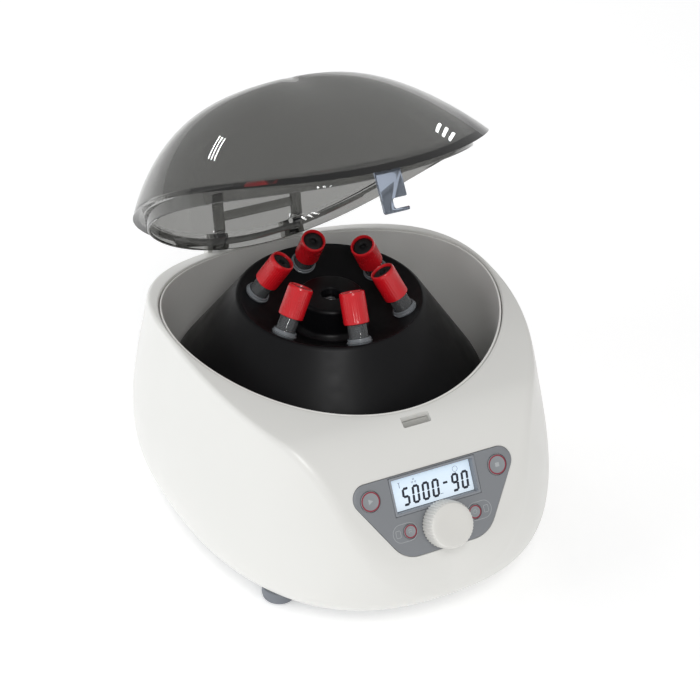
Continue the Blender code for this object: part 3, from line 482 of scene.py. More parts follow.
def skin_offset(x, v):
    """How far the housing's skin lies from the panel's plane at a point of that plane."""
    up = Vector((0.0, math.cos(PANEL_SLOPE), math.sin(PANEL_SLOPE)))
    out = Vector((0.0, -math.sin(PANEL_SLOPE), math.cos(PANEL_SLOPE)))
    low, high = -0.012, 0.012
    for _ in range(20):
        h = (low + high) / 2
        point = Vector((x, PANEL_Y, PANEL_Z)) + up * v + out * h
        if point.z > surface_height(point.x, point.y):
            high = h
        else:
            low = h
    return (low + high) / 2


def panel_body(grow, top, bottom, soften=0.0):
    """A plate that follows the housing's skin inside the panel's trapezoid, between two offsets from the skin."""
    scales = (0.2, 0.4, 0.6, 0.8, 0.95, 1.0)
    top_half = PANEL_TOP_HALF + grow
    bottom_half = PANEL_BOTTOM_HALF + grow
    corners = (
        (-top_half, PANEL_TOP + grow, PANEL_TOP_CORNER + grow),
        (-bottom_half, PANEL_BOTTOM - grow, PANEL_BOTTOM_CORNER + grow),
        (bottom_half, PANEL_BOTTOM - grow, PANEL_BOTTOM_CORNER + grow),
        (top_half, PANEL_TOP + grow, PANEL_TOP_CORNER + grow),
    )
    outline = rounded_outline(corners, 14)
    middle_v = (PANEL_TOP + PANEL_BOTTOM) / 2

    def ring(scale, offset):
        points = []
        for x, v in outline:
            px, pv = x * scale, middle_v + (v - middle_v) * scale
            points.append(Vector((px, pv, skin_offset(px, pv) + offset)))
        return points

    pole = skin_offset(0.0, middle_v)
    rings = [[Vector((0.0, middle_v, pole + top))]]
    rings += [ring(scale, top) for scale in scales[:-1]]
    rings.append(ring(1.0 - soften, top))
    if soften:
        rings.append(ring(1.0, top - 0.0002))
    rings += [ring(scale, bottom) for scale in reversed(scales)]
    rings.append([Vector((0.0, middle_v, pole + bottom))])
    return rings_mesh(rings)


# ---- materials

def noise(tree, vector, scale, detail=3.0):
    node = tree.nodes.new("ShaderNodeTexNoise")
    node.inputs["Scale"].default_value = scale
    node.inputs["Detail"].default_value = detail
    tree.links.new(vector, node.inputs["Vector"])
    return node.outputs["Fac"]


def ranged(tree, value, low, high, from_low=0.3, from_high=0.7):
    node = tree.nodes.new("ShaderNodeMapRange")
    node.inputs["From Min"].default_value = from_low
    node.inputs["From Max"].default_value = from_high
    node.inputs["To Min"].default_value = low
    node.inputs["To Max"].default_value = high
    tree.links.new(value, node.inputs["Value"])
    return node.outputs["Result"]


def mixed(tree, factor, first, second):
    node = tree.nodes.new("ShaderNodeMix")
    node.data_type = "RGBA"
    for socket, colour in ((node.inputs[6], first), (node.inputs[7], second)):
        if isinstance(colour, bpy.types.NodeSocket):
            tree.links.new(colour, socket)
        else:
            socket.default_value = (*colour, 1.0)
    tree.links.new(factor, node.inputs[0])
    return node.outputs[2]


def surface(
    name, colour, roughness, grain, height, mottle, swing=0.05, stretch=(1.0, 1.0, 1.0), worn=None, **sockets
):
    """A finish with a slow colour drift, uneven gloss, a fine bumpy grain and, where worn is given, paler edges."""
    made = bpy.data.materials.new(name)
    made.use_nodes = True
    tree = made.node_tree
    shader = tree.nodes["Principled BSDF"]
    place = tree.nodes.new("ShaderNodeTexCoord").outputs["Object"]
    mapping = tree.nodes.new("ShaderNodeMapping")
    mapping.inputs["Scale"].default_value = stretch
    tree.links.new(place, mapping.inputs["Vector"])
    along = mapping.outputs["Vector"]
    darker = tuple(c * (1.0 - mottle) for c in colour)
    lighter = tuple(min(1.0, c * (1.0 + mottle)) for c in colour)
    tint = mixed(tree, noise(tree, along, 22.0), darker, lighter)
    if worn:
        edge = tree.nodes.new("ShaderNodeNewGeometry").outputs["Pointiness"]
        tint = mixed(tree, ranged(tree, edge, 0.0, 0.8, 0.52, 0.62), tint, worn)
    tree.links.new(tint, shader.inputs["Base Color"])
    gloss = ranged(tree, noise(tree, along, 65.0), max(0.0, roughness - swing), roughness + swing)
    tree.links.new(gloss, shader.inputs["Roughness"])
    bump = tree.nodes.new("ShaderNodeBump")
    bump.inputs["Strength"].default_value = 0.5
    bump.inputs["Distance"].default_value = height
    tree.links.new(noise(tree, along, grain, 4.0), bump.inputs["Height"])
    tree.links.new(bump.outputs["Normal"], shader.inputs["Normal"])
    for socket, value in sockets.items():
        shader.inputs[socket.replace("_", " ")].default_value = value
    return made


def screen_material():
    """The backlit screen: pale blue at the top, nearly white lower down."""
    made = surface("backlit_screen", (0.60, 0.70, 0.80), 0.25, 1500.0, 0.000004, 0.01)
    tree = made.node_tree
    shader = tree.nodes["Principled BSDF"]
    split = tree.nodes.new("ShaderNodeSeparateXYZ")
    tree.links.new(tree.nodes["Texture Coordinate"].outputs["Object"], split.inputs["Vector"])
    top = (FACE @ Vector((0.0, WINDOW_H / 2, 0.0))).z
    bottom = (FACE @ Vector((0.0, -WINDOW_H / 2, 0.0))).z
    height = ranged(tree, split.outputs["Z"], 0.0, 1.0, bottom, top)
    glow = mixed(tree, height, (0.84, 0.93, 1.0), (0.58, 0.72, 0.86))
    tree.links.new(glow, shader.inputs["Emission Color"])
    shader.inputs["Emission Strength"].default_value = 0.42
    return made


PAINT = {
    "white": surface(
        "white_plastic", (0.76, 0.755, 0.725), 0.33, 700.0, 0.000012, 0.012, 0.04,
        Coat_Weight=0.15, Coat_Roughness=0.2,
    ),
    # The bowl's colour is paler than the housing's white: part of that paleness is painted light that lifts the shade
    # inside the bowl.
    "liner": surface("liner_plastic", (0.84, 0.83, 0.80), 0.36, 500.0, 0.00001, 0.03, 0.05),
    "base": surface("base_plastic", (0.52, 0.53, 0.53), 0.55, 900.0, 0.00003, 0.03),
    "panel": surface("panel_film", (0.225, 0.235, 0.25), 0.46, 2200.0, 0.000012, 0.02, 0.03),
    "bezel": surface("bezel_plastic", (0.26, 0.275, 0.30), 0.4, 1500.0, 0.00001, 0.02),
    "pale_ink": surface("pale_ink", (0.42, 0.44, 0.45), 0.5, 1800.0, 0.000004, 0.04),
    "red_ink": surface("red_ink", (0.26, 0.030, 0.050), 0.42, 1800.0, 0.000004, 0.06),
    "dark_ink": surface("dark_segments", (0.016, 0.022, 0.038), 0.35, 1800.0, 0.000003, 0.05),
    "soft_ink": surface("faint_segments", (0.30, 0.36, 0.42), 0.4, 1800.0, 0.000003, 0.05),
    "key": surface("key_plastic", (0.27, 0.285, 0.30), 0.42, 1600.0, 0.000012, 0.02),
    "knob": surface("knob_plastic", (0.72, 0.71, 0.675), 0.38, 900.0, 0.000014, 0.015, 0.04),
    "smoke": surface(
        "smoked_lid", (0.30, 0.30, 0.29), 0.02, 260.0, 0.000004, 0.01, 0.012, Transmission_Weight=1.0, IOR=1.49,
    ),
    "tab": surface(
        "clear_tab", (0.36, 0.41, 0.50), 0.05, 260.0, 0.000004, 0.01, 0.015, Transmission_Weight=0.9, IOR=1.49,
    ),
    "rotor": surface(
        "black_anodised", (0.0042, 0.0042, 0.0050), 0.40, 1400.0, 0.00002, 0.2, 0.05,
        worn=(0.012, 0.012, 0.014), Specular_IOR_Level=0.22,
    ),
    "cap": surface(
        "red_cap", (0.62, 0.008, 0.015), 0.24, 600.0, 0.00002, 0.08, 0.06, worn=(0.66, 0.02, 0.025), Coat_Weight=0.2,
    ),
    "rubber": surface("black_rubber", (0.003, 0.003, 0.0034), 0.62, 1200.0, 0.00004, 0.2),
    "foot": surface("grey_rubber", (0.20, 0.215, 0.24), 0.7, 1000.0, 0.00005, 0.06),
    "glass": surface(
        "tube_glass", (0.66, 0.68, 0.70), 0.02, 300.0, 0.000003, 0.005, 0.01, Transmission_Weight=0.92, IOR=1.47,
    ),
    "sleeve": surface(
        "sleeve_plastic", (0.44, 0.47, 0.50), 0.2, 700.0, 0.00001, 0.03, 0.05, Transmission_Weight=0.6, IOR=1.45,
    ),
    "steel": surface(
        "turned_steel", (0.58, 0.58, 0.59), 0.27, 1500.0, 0.00001, 0.05, 0.07, (1.0, 1.0, 12.0), Metallic=1.0,
    ),
    "motor": surface("motor_paint", (0.05, 0.05, 0.055), 0.4, 900.0, 0.00002, 0.08, 0.06),
    "board": surface("solder_mask", (0.02, 0.15, 0.06), 0.35, 1200.0, 0.00001, 0.12),
    "black": surface("black_plastic", (0.018, 0.018, 0.019), 0.45, 1600.0, 0.00005, 0.1),
    "screen": screen_material(),
}


# ---- housing

def ring_points(columns, angles, row):
    ring = []
    for angle, column in zip(angles, columns):
        radius, z = column[row]
        ring.append(Vector((radius * math.cos(angle), radius * math.sin(angle), z)))
    return ring


def rear_place(x):
    """Place of a fitting on the outside of the back wall."""
    angle = math.pi / 2
    for _ in range(8):
        radius = wall_radius(angle, REAR_Z)
        angle = math.acos(x / radius)
    step = 0.002
    before = wall_radius(angle + step, REAR_Z)
    after = wall_radius(angle - step, REAR_Z)
    run = Vector((after * math.cos(angle - step), after * math.sin(angle - step)))
    run -= Vector((before * math.cos(angle + step), before * math.sin(angle + step)))
    spot = Vector((x, radius * math.sin(angle), REAR_Z))
    return Matrix.Translation(spot) @ Matrix.Rotation(math.atan2(run.y, run.x), 4, "Z")


def window_hole(depth, h):
    """Room for the display's bezel, centred at a height over the panel's plane."""
    across, along = (size + 2 * BEZEL_WALL + 0.0006 for size in (WINDOW_W, WINDOW_H))
    return block((across, along, depth), (0.0, 0.0, h))


def make_housing():
    angles = full_turn(288)
    skin = [section(a, INSIDE_CAD, 26, 12, 14) for a in angles]
    lining = [list(reversed(section(a, WALL, 8, 3, 3))) for a in angles]
    rings = [ring_points(skin, angles, row) for row in range(len(skin[0]))]
    rings += [ring_points(lining, angles, row) for row in range(len(lining[0]))]
    housing = add("housing_shell", rings_mesh(rings, closed=True), "white", replaces=("upper_housing",))
    tilt = HOME.inverted() @ FACE
    recess = placed(panel_body(0.0004, 0.008, RECESS), tilt)
    slot = prism(rounded_rectangle(SLOT_W / 2, SLOT_DEPTH / 2, 0.0012, (0.0, TAB_Y)), 0.095, 0.135)
    inlet = placed(block((0.0278, 0.020, 0.0204), (0.0, -0.004, 0.0)), rear_place(-REAR_X))
    switch = placed(block((0.0196, 0.020, 0.0136), (0.0, -0.004, 0.0)), rear_place(REAR_X))
    cut(housing, joined(recess, slot, inlet, switch))
    cut(housing, placed(window_hole(0.022, -0.001), tilt))
    make_lugs()
    make_slot_guide()


def make_slot_guide():
    """Thin walls that hang below the latch slot and guide the striker in."""
    half_w, half_d = SLOT_W / 2 + 0.0003, SLOT_DEPTH / 2 + 0.0003
    outer = rounded_rectangle(half_w + 0.0012, half_d + 0.0012, 0.0016, (0.0, TAB_Y))
    inner = rounded_rectangle(half_w, half_d, 0.0012, (0.0, TAB_Y))
    add("slot_guide", band(outer, inner, BOLT_Z + 0.0045, arch_height(TAB_Y) - 0.0045), "white")


def make_lugs():
    """Two ears beside each lid arm, each pair on its hinge pin."""
    lug_w = 0.0035
    offset = ARM_W / 2 + 0.0004 + lug_w / 2
    outline = circle(HINGE.y, HINGE.z, EYE_R)[:25]
    outline += [(HINGE.y - EYE_R, HINGE.z - 0.0065), (HINGE.y + EYE_R, HINGE.z - 0.0085)]
    parts = []
    for centre in (x + side * offset for x in (-ARM_X, ARM_X) for side in (-1, 1)):
        parts.append(placed(prism(outline, centre - lug_w / 2, centre + lug_w / 2, 0.0004), SIDEWAYS))
    add("hinge_lugs", joined(*parts), "white")


def make_base():
    outline = []
    for angle in full_turn(192):
        radius = wall_radius(angle, 0.0, WALL + 0.0006)
        outline.append((radius * math.cos(angle), radius * math.sin(angle)))
    plate = add("base_cover", prism(outline, 0.0, 0.003, 0.0005), "base", replaces=("base_plate",))
    slots = []
    for side in (-1, 1):
        for row in range(7):
            outline = rounded_rectangle(0.019, 0.0016, 0.0015, (side * 0.052, -0.030 + row * 0.0085))
            slots.append(prism(outline, -0.002, 0.006))
    cut(plate, joined(*slots))
    profile = (
        (0.0, -0.0100), (0.0042, -0.0100), (0.0046, -0.0096), (0.0046, -0.0070), (0.0062, -0.0070),
        (0.0062, -0.0096), (0.0068, -0.0100), (0.0096, -0.0100), (0.0109, -0.0090), (0.0115, -0.0065),
        (0.0115, -0.0007), (0.0111, -0.0003), (0.0, -0.0003),
    )
    for name in ("front_left", "front_right", "rear_left", "rear_right"):
        low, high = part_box("foot_" + name)
        at = Matrix.Translation(((low.x + high.x) / 2, (low.y + high.y) / 2, 0.010))
        add("rubber_foot_" + name, turned(profile, 64), "foot", place=at, replaces=("foot_" + name,))
    for index, (x, y) in enumerate(((-0.062, -0.128), (0.062, -0.128), (-0.070, 0.088), (0.070, 0.088))):
        place = HOME @ Matrix.Translation((x, y, -0.0001)) @ Matrix.Rotation(math.pi, 4, "X")
        add(f"base_screw_{index + 1}", screw(0.0038, 0.0012), "steel", place=place)


def screw(radius, height):
    """A pan head with a cross recess, standing on the XY plane."""
    shoulder, crown = (radius * 0.86, height * 0.8), (radius * 0.5, height)
    profile = ((0.0, -0.0004), (radius, -0.0004), (radius, height * 0.35), shoulder, crown, (0.0, height))
    half, thin = radius * 0.525, radius * 0.12
    arm = [(half, thin), (thin, thin), (thin, half)]
    cross = []
    for _ in range(4):
        cross += arm
        arm = [(-y, x) for x, y in arm]
    holder = linked("head", turned(profile, 48))
    cut(holder, prism(cross, height * 0.35, height + 0.001), Matrix.Identity(4))
    head = bmesh.new()
    head.from_mesh(holder.data)
    bpy.data.objects.remove(holder)
    return head


def make_liner():
    """The bowl: its rounded top edge follows the arch just inside the housing's lip."""
    angles = full_turn(192)
    floor_top = LINER_FLOOR + 0.0025
    inner = LINER_R - LINER_WALL
    lip = LINER_WALL / 2
    rows = [
        (LINER_R, LINER_FLOOR + 0.006), (LINER_R - 0.0012, LINER_FLOOR + 0.002), (LINER_R - 0.004, LINER_FLOOR),
        (BOOT_HOLE_R, LINER_FLOOR), (BOOT_HOLE_R, floor_top), (inner - 0.007, floor_top),
        (inner - 0.004, floor_top + 0.0007), (inner - 0.0018, floor_top + 0.0024),
        (inner - 0.0005, floor_top + 0.0048), (inner, floor_top + 0.007),
    ]
    rings = [[Vector((radius * math.cos(a), radius * math.sin(a), z)) for a in angles] for radius, z in rows]
    for turn in (math.pi * k / 6 for k in range(7)):
        radius = LINER_R - lip - lip * math.cos(turn)
        rings.append(arch_ring(radius, lip * math.sin(turn) - LINER_DROP - lip, angles))
    add("bowl", rings_mesh(rings, closed=True), "liner", replaces=("chamber_liner",))


# ---- rotor and tubes

def dish_height(radius):
    return ROTOR_TOP_Z - (ROTOR_TOP_R - radius) * math.tan(TUBE_TILT)


def tube_place(k):
    """Cap-top place of tube k: local -Z runs down the tube, away from the rotor axis."""
    angle = TUBE_PHASE + math.tau * k / TUBES
    at = Vector((TUBE_RING_R * math.cos(angle), TUBE_RING_R * math.sin(angle), TUBE_RING_Z))
    return HOME @ Matrix.Translation(at) @ Euler((0.0, -TUBE_TILT, angle)).to_matrix().to_4x4()


def make_rotor():
    groove_r = HUB_R + 0.004
    profile = (
        (SHAFT_HOLE_R, ROTOR_BOTTOM_Z), (ROTOR_EDGE_R - 0.003, ROTOR_BOTTOM_Z),
        (ROTOR_EDGE_R, ROTOR_BOTTOM_Z + 0.004), (ROTOR_EDGE_R, ROTOR_EDGE_Z),
        (ROTOR_EDGE_R - 0.0025, ROTOR_EDGE_Z + 0.0045), (ROTOR_TOP_R + 0.0012, ROTOR_TOP_Z - 0.0015),
        (ROTOR_TOP_R - 0.0010, ROTOR_TOP_Z),
        (ROTOR_TOP_R - 0.0030, dish_height(ROTOR_TOP_R - 0.0030)),
        (groove_r, dish_height(groove_r)),
        (HUB_R, dish_height(groove_r) + 0.003),
        (HUB_R, ROTOR_TOP_Z - 0.0015), (HUB_R - 0.0015, ROTOR_TOP_Z), (WELL_R, ROTOR_TOP_Z), (WELL_R, WELL_Z),
        (SHAFT_HOLE_R, WELL_Z),
    )
    body = turned(filleted(profile, 0.0014), 192, closed=True)
    rotor = add("rotor_body", body, "rotor", "spinner", sharp=50.0, replaces=("rotor",))
    bore = ((0.0, -SLEEVE_END - 0.0008), (BORE_R, -SLEEVE_END - 0.0008), (BORE_R, -0.022), (0.0, -0.022))
    cut(rotor, joined(*[placed(turned(bore, 64), tube_place(k)) for k in range(TUBES)]), Matrix.Identity(4))
    nut_low = WELL_Z + 0.0003
    nut = band(circle(0.0, 0.0, 0.0058, 6), circle(0.0, 0.0, 0.0039, 6), nut_low, nut_low + 0.0064)
    outer_edges = [e for e in nut.edges if e.calc_length() > 0.005]
    bmesh.ops.bevel(nut, geom=outer_edges, offset=0.0004, segments=2, affect="EDGES", profile=0.5)
    add("clamp_nut", nut, "steel", "spinner", replaces=("rotor_nut",))


def make_tubes():
    sleeve = (
        (0.0, -SLEEVE_END), (SLEEVE_R - 0.003, -SLEEVE_END), (SLEEVE_R, -SLEEVE_END + 0.003),
        (SLEEVE_R, -DISH_START - 0.0001), (SLEEVE_R + 0.0007, -DISH_START + 0.0003),
        (SLEEVE_R + 0.0007, -DISH_START + 0.0008), (SLEEVE_R, -DISH_START + 0.0010), (SLEEVE_R, -SLEEVE_START),
        (SLEEVE_BORE_R, -SLEEVE_START), (SLEEVE_BORE_R, -TUBE_END + TUBE_R - 0.0014),
        (SLEEVE_BORE_R * 0.70, -TUBE_END + TUBE_R * 0.29 - 0.0012), (0.0, -TUBE_END - 0.0006),
    )
    inner = TUBE_R - TUBE_WALL
    round_z = -TUBE_END + TUBE_R
    quarter = [math.pi / 2 * i / 10 for i in range(1, 11)]
    tube = [(0.0, -TUBE_END)]
    tube += [(TUBE_R * math.sin(a), round_z - TUBE_R * math.cos(a)) for a in quarter]
    tube += [(TUBE_R, -TUBE_START - 0.0004), (TUBE_R - 0.0004, -TUBE_START)]
    tube += [(inner + 0.0003, -TUBE_START), (inner, -TUBE_START - 0.0003)]
    tube += [(inner * math.sin(a), round_z - inner * math.cos(a)) for a in reversed(quarter)]
    tube.append((0.0, -TUBE_END + TUBE_WALL))
    disc_r = CAP_BORE_R - 0.0003
    plug_r = inner - 0.0003
    disc_top = -0.0012
    stopper = (
        (0.0, disc_top - 0.0035), (0.0021, disc_top - 0.0030), (0.0024, disc_top - 0.0004),
        (0.0029, disc_top - 0.0001), (0.0045, disc_top), (disc_r - 0.0004, disc_top - 0.0002),
        (disc_r, disc_top - 0.0006), (disc_r, -TUBE_START + 0.0003), (plug_r, -TUBE_START + 0.0003),
        (plug_r, -0.0130), (0.0, -0.0130),
    )
    sleeve = filleted(sleeve, 0.0005, 3, closed=False)
    for k in range(TUBES):
        n = k + 1
        body = f"tube_{n}"
        place = tube_place(k)
        add(f"sleeve_{n}", turned(sleeve, 64), "sleeve", "spinner", place, 50.0, (f"tube_sleeve_{n}",))
        add(f"glass_tube_{n}", turned(tube, 64), "glass", body, place, 60.0, (f"blood_tube_{n}",))
        add(f"cap_{n}", cap_mesh(), "cap", body, place, 28.0, (f"tube_cap_{n}",))
        plug = turned(stopper, 48)
        add(f"stopper_{n}", plug, "rubber", body, place, 40.0, (f"tube_stopper_{n}",))


def cap_mesh():
    """A skirted cap with fine lengthwise ribs between a plain top band and a plain lower hem."""
    rows = (
        (CAP_R - 0.0010, 0.0, 0.0), (CAP_R - 0.0004, -0.0002, 0.0), (CAP_R - 0.0001, -0.0008, 0.0),
        (CAP_R, -0.0022, 0.0), (CAP_R, -0.0028, 1.0), (CAP_R, -CAP_LENGTH + 0.0020, 1.0),
        (CAP_R, -CAP_LENGTH + 0.0014, 0.0), (CAP_R, -CAP_LENGTH + 0.0003, 0.0),
        (CAP_R - 0.0003, -CAP_LENGTH, 0.0), (CAP_BORE_R, -CAP_LENGTH, 0.0), (CAP_BORE_R, -0.0006, 0.0),
        (CAP_BORE_R + 0.0003, 0.0, 0.0),
    )
    return ribbed(rows, 36, (0.0, 0.35, 1.0, 0.35), 0.00022, closed=True)


# ---- lid

def lid_rim(angle, inset):
    return polar_radius(angle, LID_HALF_W - inset, LID_FRONT - inset, LID_BACK - inset, 2.06, 1.96)


def lid_dome_point(angle, t, inset):
    """A point of the dome, t from the apex to the rim. The front falls in a straight slope; the back is steep."""
    frontness = (1.0 - math.sin(angle)) / 2
    radius = lid_rim(angle, inset * (1.0 + 1.6 * frontness))
    rim_x, rim_y = radius * math.cos(angle), radius * math.sin(angle)
    power = 4.2 + (1.25 - 4.2) * frontness
    root = 1.2 + (1.0 - 1.2) * frontness
    x = t * rim_x
    y = LID_APEX_Y + t * (rim_y - LID_APEX_Y)
    foot = LID_SEAT
    if inset:
        foot += (LID_WALL - LID_SEAT) * t ** (0.5 + 7.5 * frontness)
    base = (arch_height(rim_y) + foot) * t ** 2 + (ARCH_TOP_Z + foot) * (1 - t ** 2)
    return Vector((x, y, base + (LID_HEIGHT - INSIDE_CAD - inset) * (1 - t ** power) ** (1 / root)))


def make_lid():
    angles = full_turn(192)
    steps = [math.sin(math.pi / 2 * i / 30) for i in range(1, 31)]

    inner_skirt = SKIRT_R - SKIRT_WALL
    rings = [[lid_dome_point(0.0, 0.0, 0.0)]]
    rings += [[lid_dome_point(a, t, 0.0) for a in angles] for t in steps]
    skirt = (
        (SKIRT_R + 0.0006, LID_SEAT), (SKIRT_R, LID_SEAT - 0.0006), (SKIRT_R, -SKIRT_DROP + 0.0007),
        (SKIRT_R - 0.0005, -SKIRT_DROP), (inner_skirt + 0.0005, -SKIRT_DROP),
        (inner_skirt, -SKIRT_DROP + 0.0007), (inner_skirt, LID_WALL),
    )
    rings += [arch_ring(radius, lift, angles) for radius, lift in skirt]
    rings += [[lid_dome_point(a, t, LID_WALL) for a in angles] for t in reversed(steps)]
    rings.append([lid_dome_point(0.0, 0.0, LID_WALL)])
    shell = add("lid_dome", rings_mesh(rings), "smoke", "lid", LID, 40.0, ("lid_shell",))
    notches = [block((ARM_W + 0.0016, 0.0257, 0.028), (x, 0.1212, 0.1085)) for x in (-ARM_X, ARM_X)]
    cut(shell, joined(*notches), LID)
    make_tab()
    make_arms()


def make_tab():
    """The latch striker: a clear blade with a window, open to the right, for the bolt."""
    top = arch_height(TAB_Y) + LID_SEAT - 0.0011
    left, right = -TAB_W / 2, TAB_W / 2
    window = -0.0015
    outline = (
        (left, top, 0.0004), (left, TAB_BOTTOM, 0.0015), (right, TAB_BOTTOM, 0.0010),
        (right, BOLT_Z - 0.0032, 0.0006), (window, BOLT_Z - 0.0032, 0.0010), (window, BOLT_Z + 0.0032, 0.0010),
        (right, BOLT_Z + 0.0032, 0.0006), (right, top, 0.0004),
    )
    half = TAB_THICK / 2
    blade = prism(softened(outline), -TAB_Y - half, -TAB_Y + half, 0.0003)
    add("latch_striker", placed(blade, UPRIGHT), "tab", "lid", LID, 40.0, ("lid_latch_tab",))


def make_arms():
    """Two arms from the hinge eyes up the inside of the dome's back, tied by a crossbar."""
    eye = [math.radians(d) for d in range(-120, 101, 10)]
    outline = [(HINGE.y + EYE_R * math.cos(a), HINGE.z + EYE_R * math.sin(a)) for a in eye]
    outline += [
        (0.1135, 0.1203), (0.1090, 0.1225), (0.1056, 0.1312), (0.1002, 0.1420), (0.0974, 0.1463),
        (0.0932, 0.1463), (0.0954, 0.1420), (0.1010, 0.1312), (0.1058, 0.1202), (0.1089, 0.1196),
        (0.1090, 0.1168), (0.1160, 0.1140), (0.1200, 0.1124),
    ]
    arms = [placed(prism(outline, x - ARM_W / 2, x + ARM_W / 2, 0.0003), SIDEWAYS) for x in (-ARM_X, ARM_X)]
    bar = block((2 * ARM_X - ARM_W - 0.0001, 0.0034, 0.0065), (0.0, 0.1034, 0.1305), 0.0008)
    add("hinge_frame", joined(*arms, bar), "smoke", "lid", LID, 40.0, ("lid_hinge_frame",))


# ---- control panel

GRID = 0.0035


def offset_table():
    """Skin offsets on a grid over the right half of the panel, which the left half mirrors."""
    table = {}
    for i in range(22):
        for j in range(-14, 7):
            table[i, j] = skin_offset(i * GRID, j * GRID)
    return table


OFFSETS = offset_table()


def face_height(x, v):
    """The panel's printed surface at a point of its plane."""
    px, pv = abs(x) / GRID, v / GRID
    i, j = math.floor(px), math.floor(pv)
    fx, fv = px - i, pv - j
    lower = OFFSETS[i, j] * (1 - fx) + OFFSETS[i + 1, j] * fx
    upper = OFFSETS[i, j + 1] * (1 - fx) + OFFSETS[i + 1, j + 1] * fx
    return lower * (1 - fv) + upper * fv + PANEL_PROUD


def printed(name, shapes, paint, body="housing", lift=0.00006, level=None):
    """Thin ink shapes laid on the panel, or on a flat level; a shape is an outline with an optional inner outline."""
    parts = []
    for outline, inner in shapes:
        flat = band(outline, inner, 0.0, lift) if inner else prism(outline, 0.0, lift)
        for vert in flat.verts:
            base = face_height(vert.co.x, vert.co.y) if level is None else level
            vert.co.z += base - 0.00002
        parts.append(flat)
    return add(name, joined(*parts), paint, body, FACE, 40.0)


def ring_shape(x, v, outer, inner, steps=48):
    return circle(x, v, outer, steps), circle(x, v, inner, steps)


def make_panel():
    face = panel_body(0.0, PANEL_PROUD, -0.0012, soften=0.006)
    panel = add("panel_plate", face, "panel", place=FACE, replaces=("control_panel",))
    holes = [window_hole(0.020, 0.0)]
    shaft_clear = 0.004
    openings = [(0.0, KNOB_V, shaft_clear)] + [(x, v, r + 0.0004) for x, v, r, _ in BUTTONS.values()]
    for x, v, radius in openings:
        hole = turned(((0.0, -0.010), (radius, -0.010), (radius, 0.010), (0.0, 0.010)), 64)
        holes.append(placed(hole, Matrix.Translation((x, v, 0.0))))
    cut(panel, joined(*holes), FACE)
    make_keys()
    make_panel_print()
    make_display()
    make_knob()


def make_keys():
    for name, (x, v, radius, body) in BUTTONS.items():
        skin = face_height(x, v) - PANEL_PROUD
        top = skin + BUTTON_TOP
        profile = (
            (0.0, -0.0081), (0.0020, -0.0081), (0.0020, skin - 0.0006), (radius, skin - 0.0006),
            (radius, top - 0.0005), (radius - 0.00015, top - 0.0002), (radius - 0.0005, top),
            (radius - 0.0014, top), (radius - 0.0019, top - 0.00015), (radius * 0.4, top - 0.00035),
            (0.0, top - 0.00040),
        )
        place = FACE @ Matrix.Translation((x, v, 0.0))
        add(name + "_cap", turned(profile, 96), "key", body, place, 40.0, (name,))
        width = 0.0009 if radius > 0.006 else 0.0008
        ring = [ring_shape(x, v, radius - 0.00025, radius - 0.00025 - width)]
        printed(name + "_ring", ring, "red_ink", body, 0.00004, top)
        printed(name + "_mark", key_mark(name, x, v), "pale_ink", body, 0.00004, top - 0.00034)


def key_mark(name, x, v):
    """Plain symbols: a triangle, a square, a double chevron and a clock face."""
    if name == "button_start":
        return [([(x - 0.0013, v + 0.0018), (x - 0.0013, v - 0.0018), (x + 0.0018, v)], None)]
    if name == "button_stop":
        return [(rounded_rectangle(0.0014, 0.0014, 0.0002, (x, v), 2), None)]
    if name == "button_speed":
        chevron = (
            (-0.0012, -0.0003), (0.0, 0.0007), (0.0012, -0.0003), (0.0012, 0.0001), (0.0, 0.0011),
            (-0.0012, 0.0001),
        )
        return [([(x + px, v + shift + pv) for px, pv in chevron], None) for shift in (-0.0008, 0.0006)]
    hand = rounded_rectangle(0.00014, 0.0006, 0.0001, (x, v + 0.0005), 2)
    return [ring_shape(x, v, 0.0015, 0.0012), (hand, None)]


def make_panel_print():
    line = 0.00028
    surround = (0.0268, 0.0086, 0.0059, 0.0058, 14)
    badge = (0.0316, 0.0017, 0.0024, 0.0008, 6)
    shapes = []
    for side in (-1, 1):
        for x, half_w, half_h, radius, arc in (surround, badge):
            centre = (side * x, -0.0232)
            outer = rounded_rectangle(half_w, half_h, radius, centre, arc)
            inner = rounded_rectangle(half_w - line, half_h - line, radius - line, centre, arc)
            shapes.append((outer, inner))
    printed("key_outlines", shapes, "pale_ink")


SEGMENTS = {"5": "afgcd", "0": "abcdef", "9": "abcdfg"}


def digit_shapes(text, left, bottom, width, height, pitch):
    """Seven-segment shapes of a short text, leaning a little to the right."""
    thick = 0.00158
    gap = 0.00008
    lean = math.tan(math.radians(5.0))
    shapes = []
    for index, sign in enumerate(text):
        x0 = left + index * pitch
        for part in SEGMENTS[sign]:
            shapes.append((segment_outline(part, x0, bottom, width, height, thick, gap, lean), None))
    return shapes


def segment_outline(part, x0, y0, width, height, thick, gap, lean):
    """One lit bar: a lies along the top, then b to f run clockwise round the digit, and g crosses its middle."""
    half = thick / 2
    taper = 0.5 * half
    middle = height / 2
    flat = part in "agd"
    if flat:
        across = {"a": height - half, "g": middle, "d": half}[part]
        low, high = half, width - half
    else:
        across = half if part in "fe" else width - half
        low, high = (middle, height - half) if part in "fb" else (half, middle)
    low, high = low + gap, high - gap
    bar = [(low, 0.0), (low + taper, half), (high - taper, half), (high, 0.0)]
    bar += [(high - taper, -half), (low + taper, -half)]
    points = [(run, across + side) if flat else (across + side, run) for run, side in bar]
    return [(x0 + px + py * lean, y0 + py) for px, py in points]


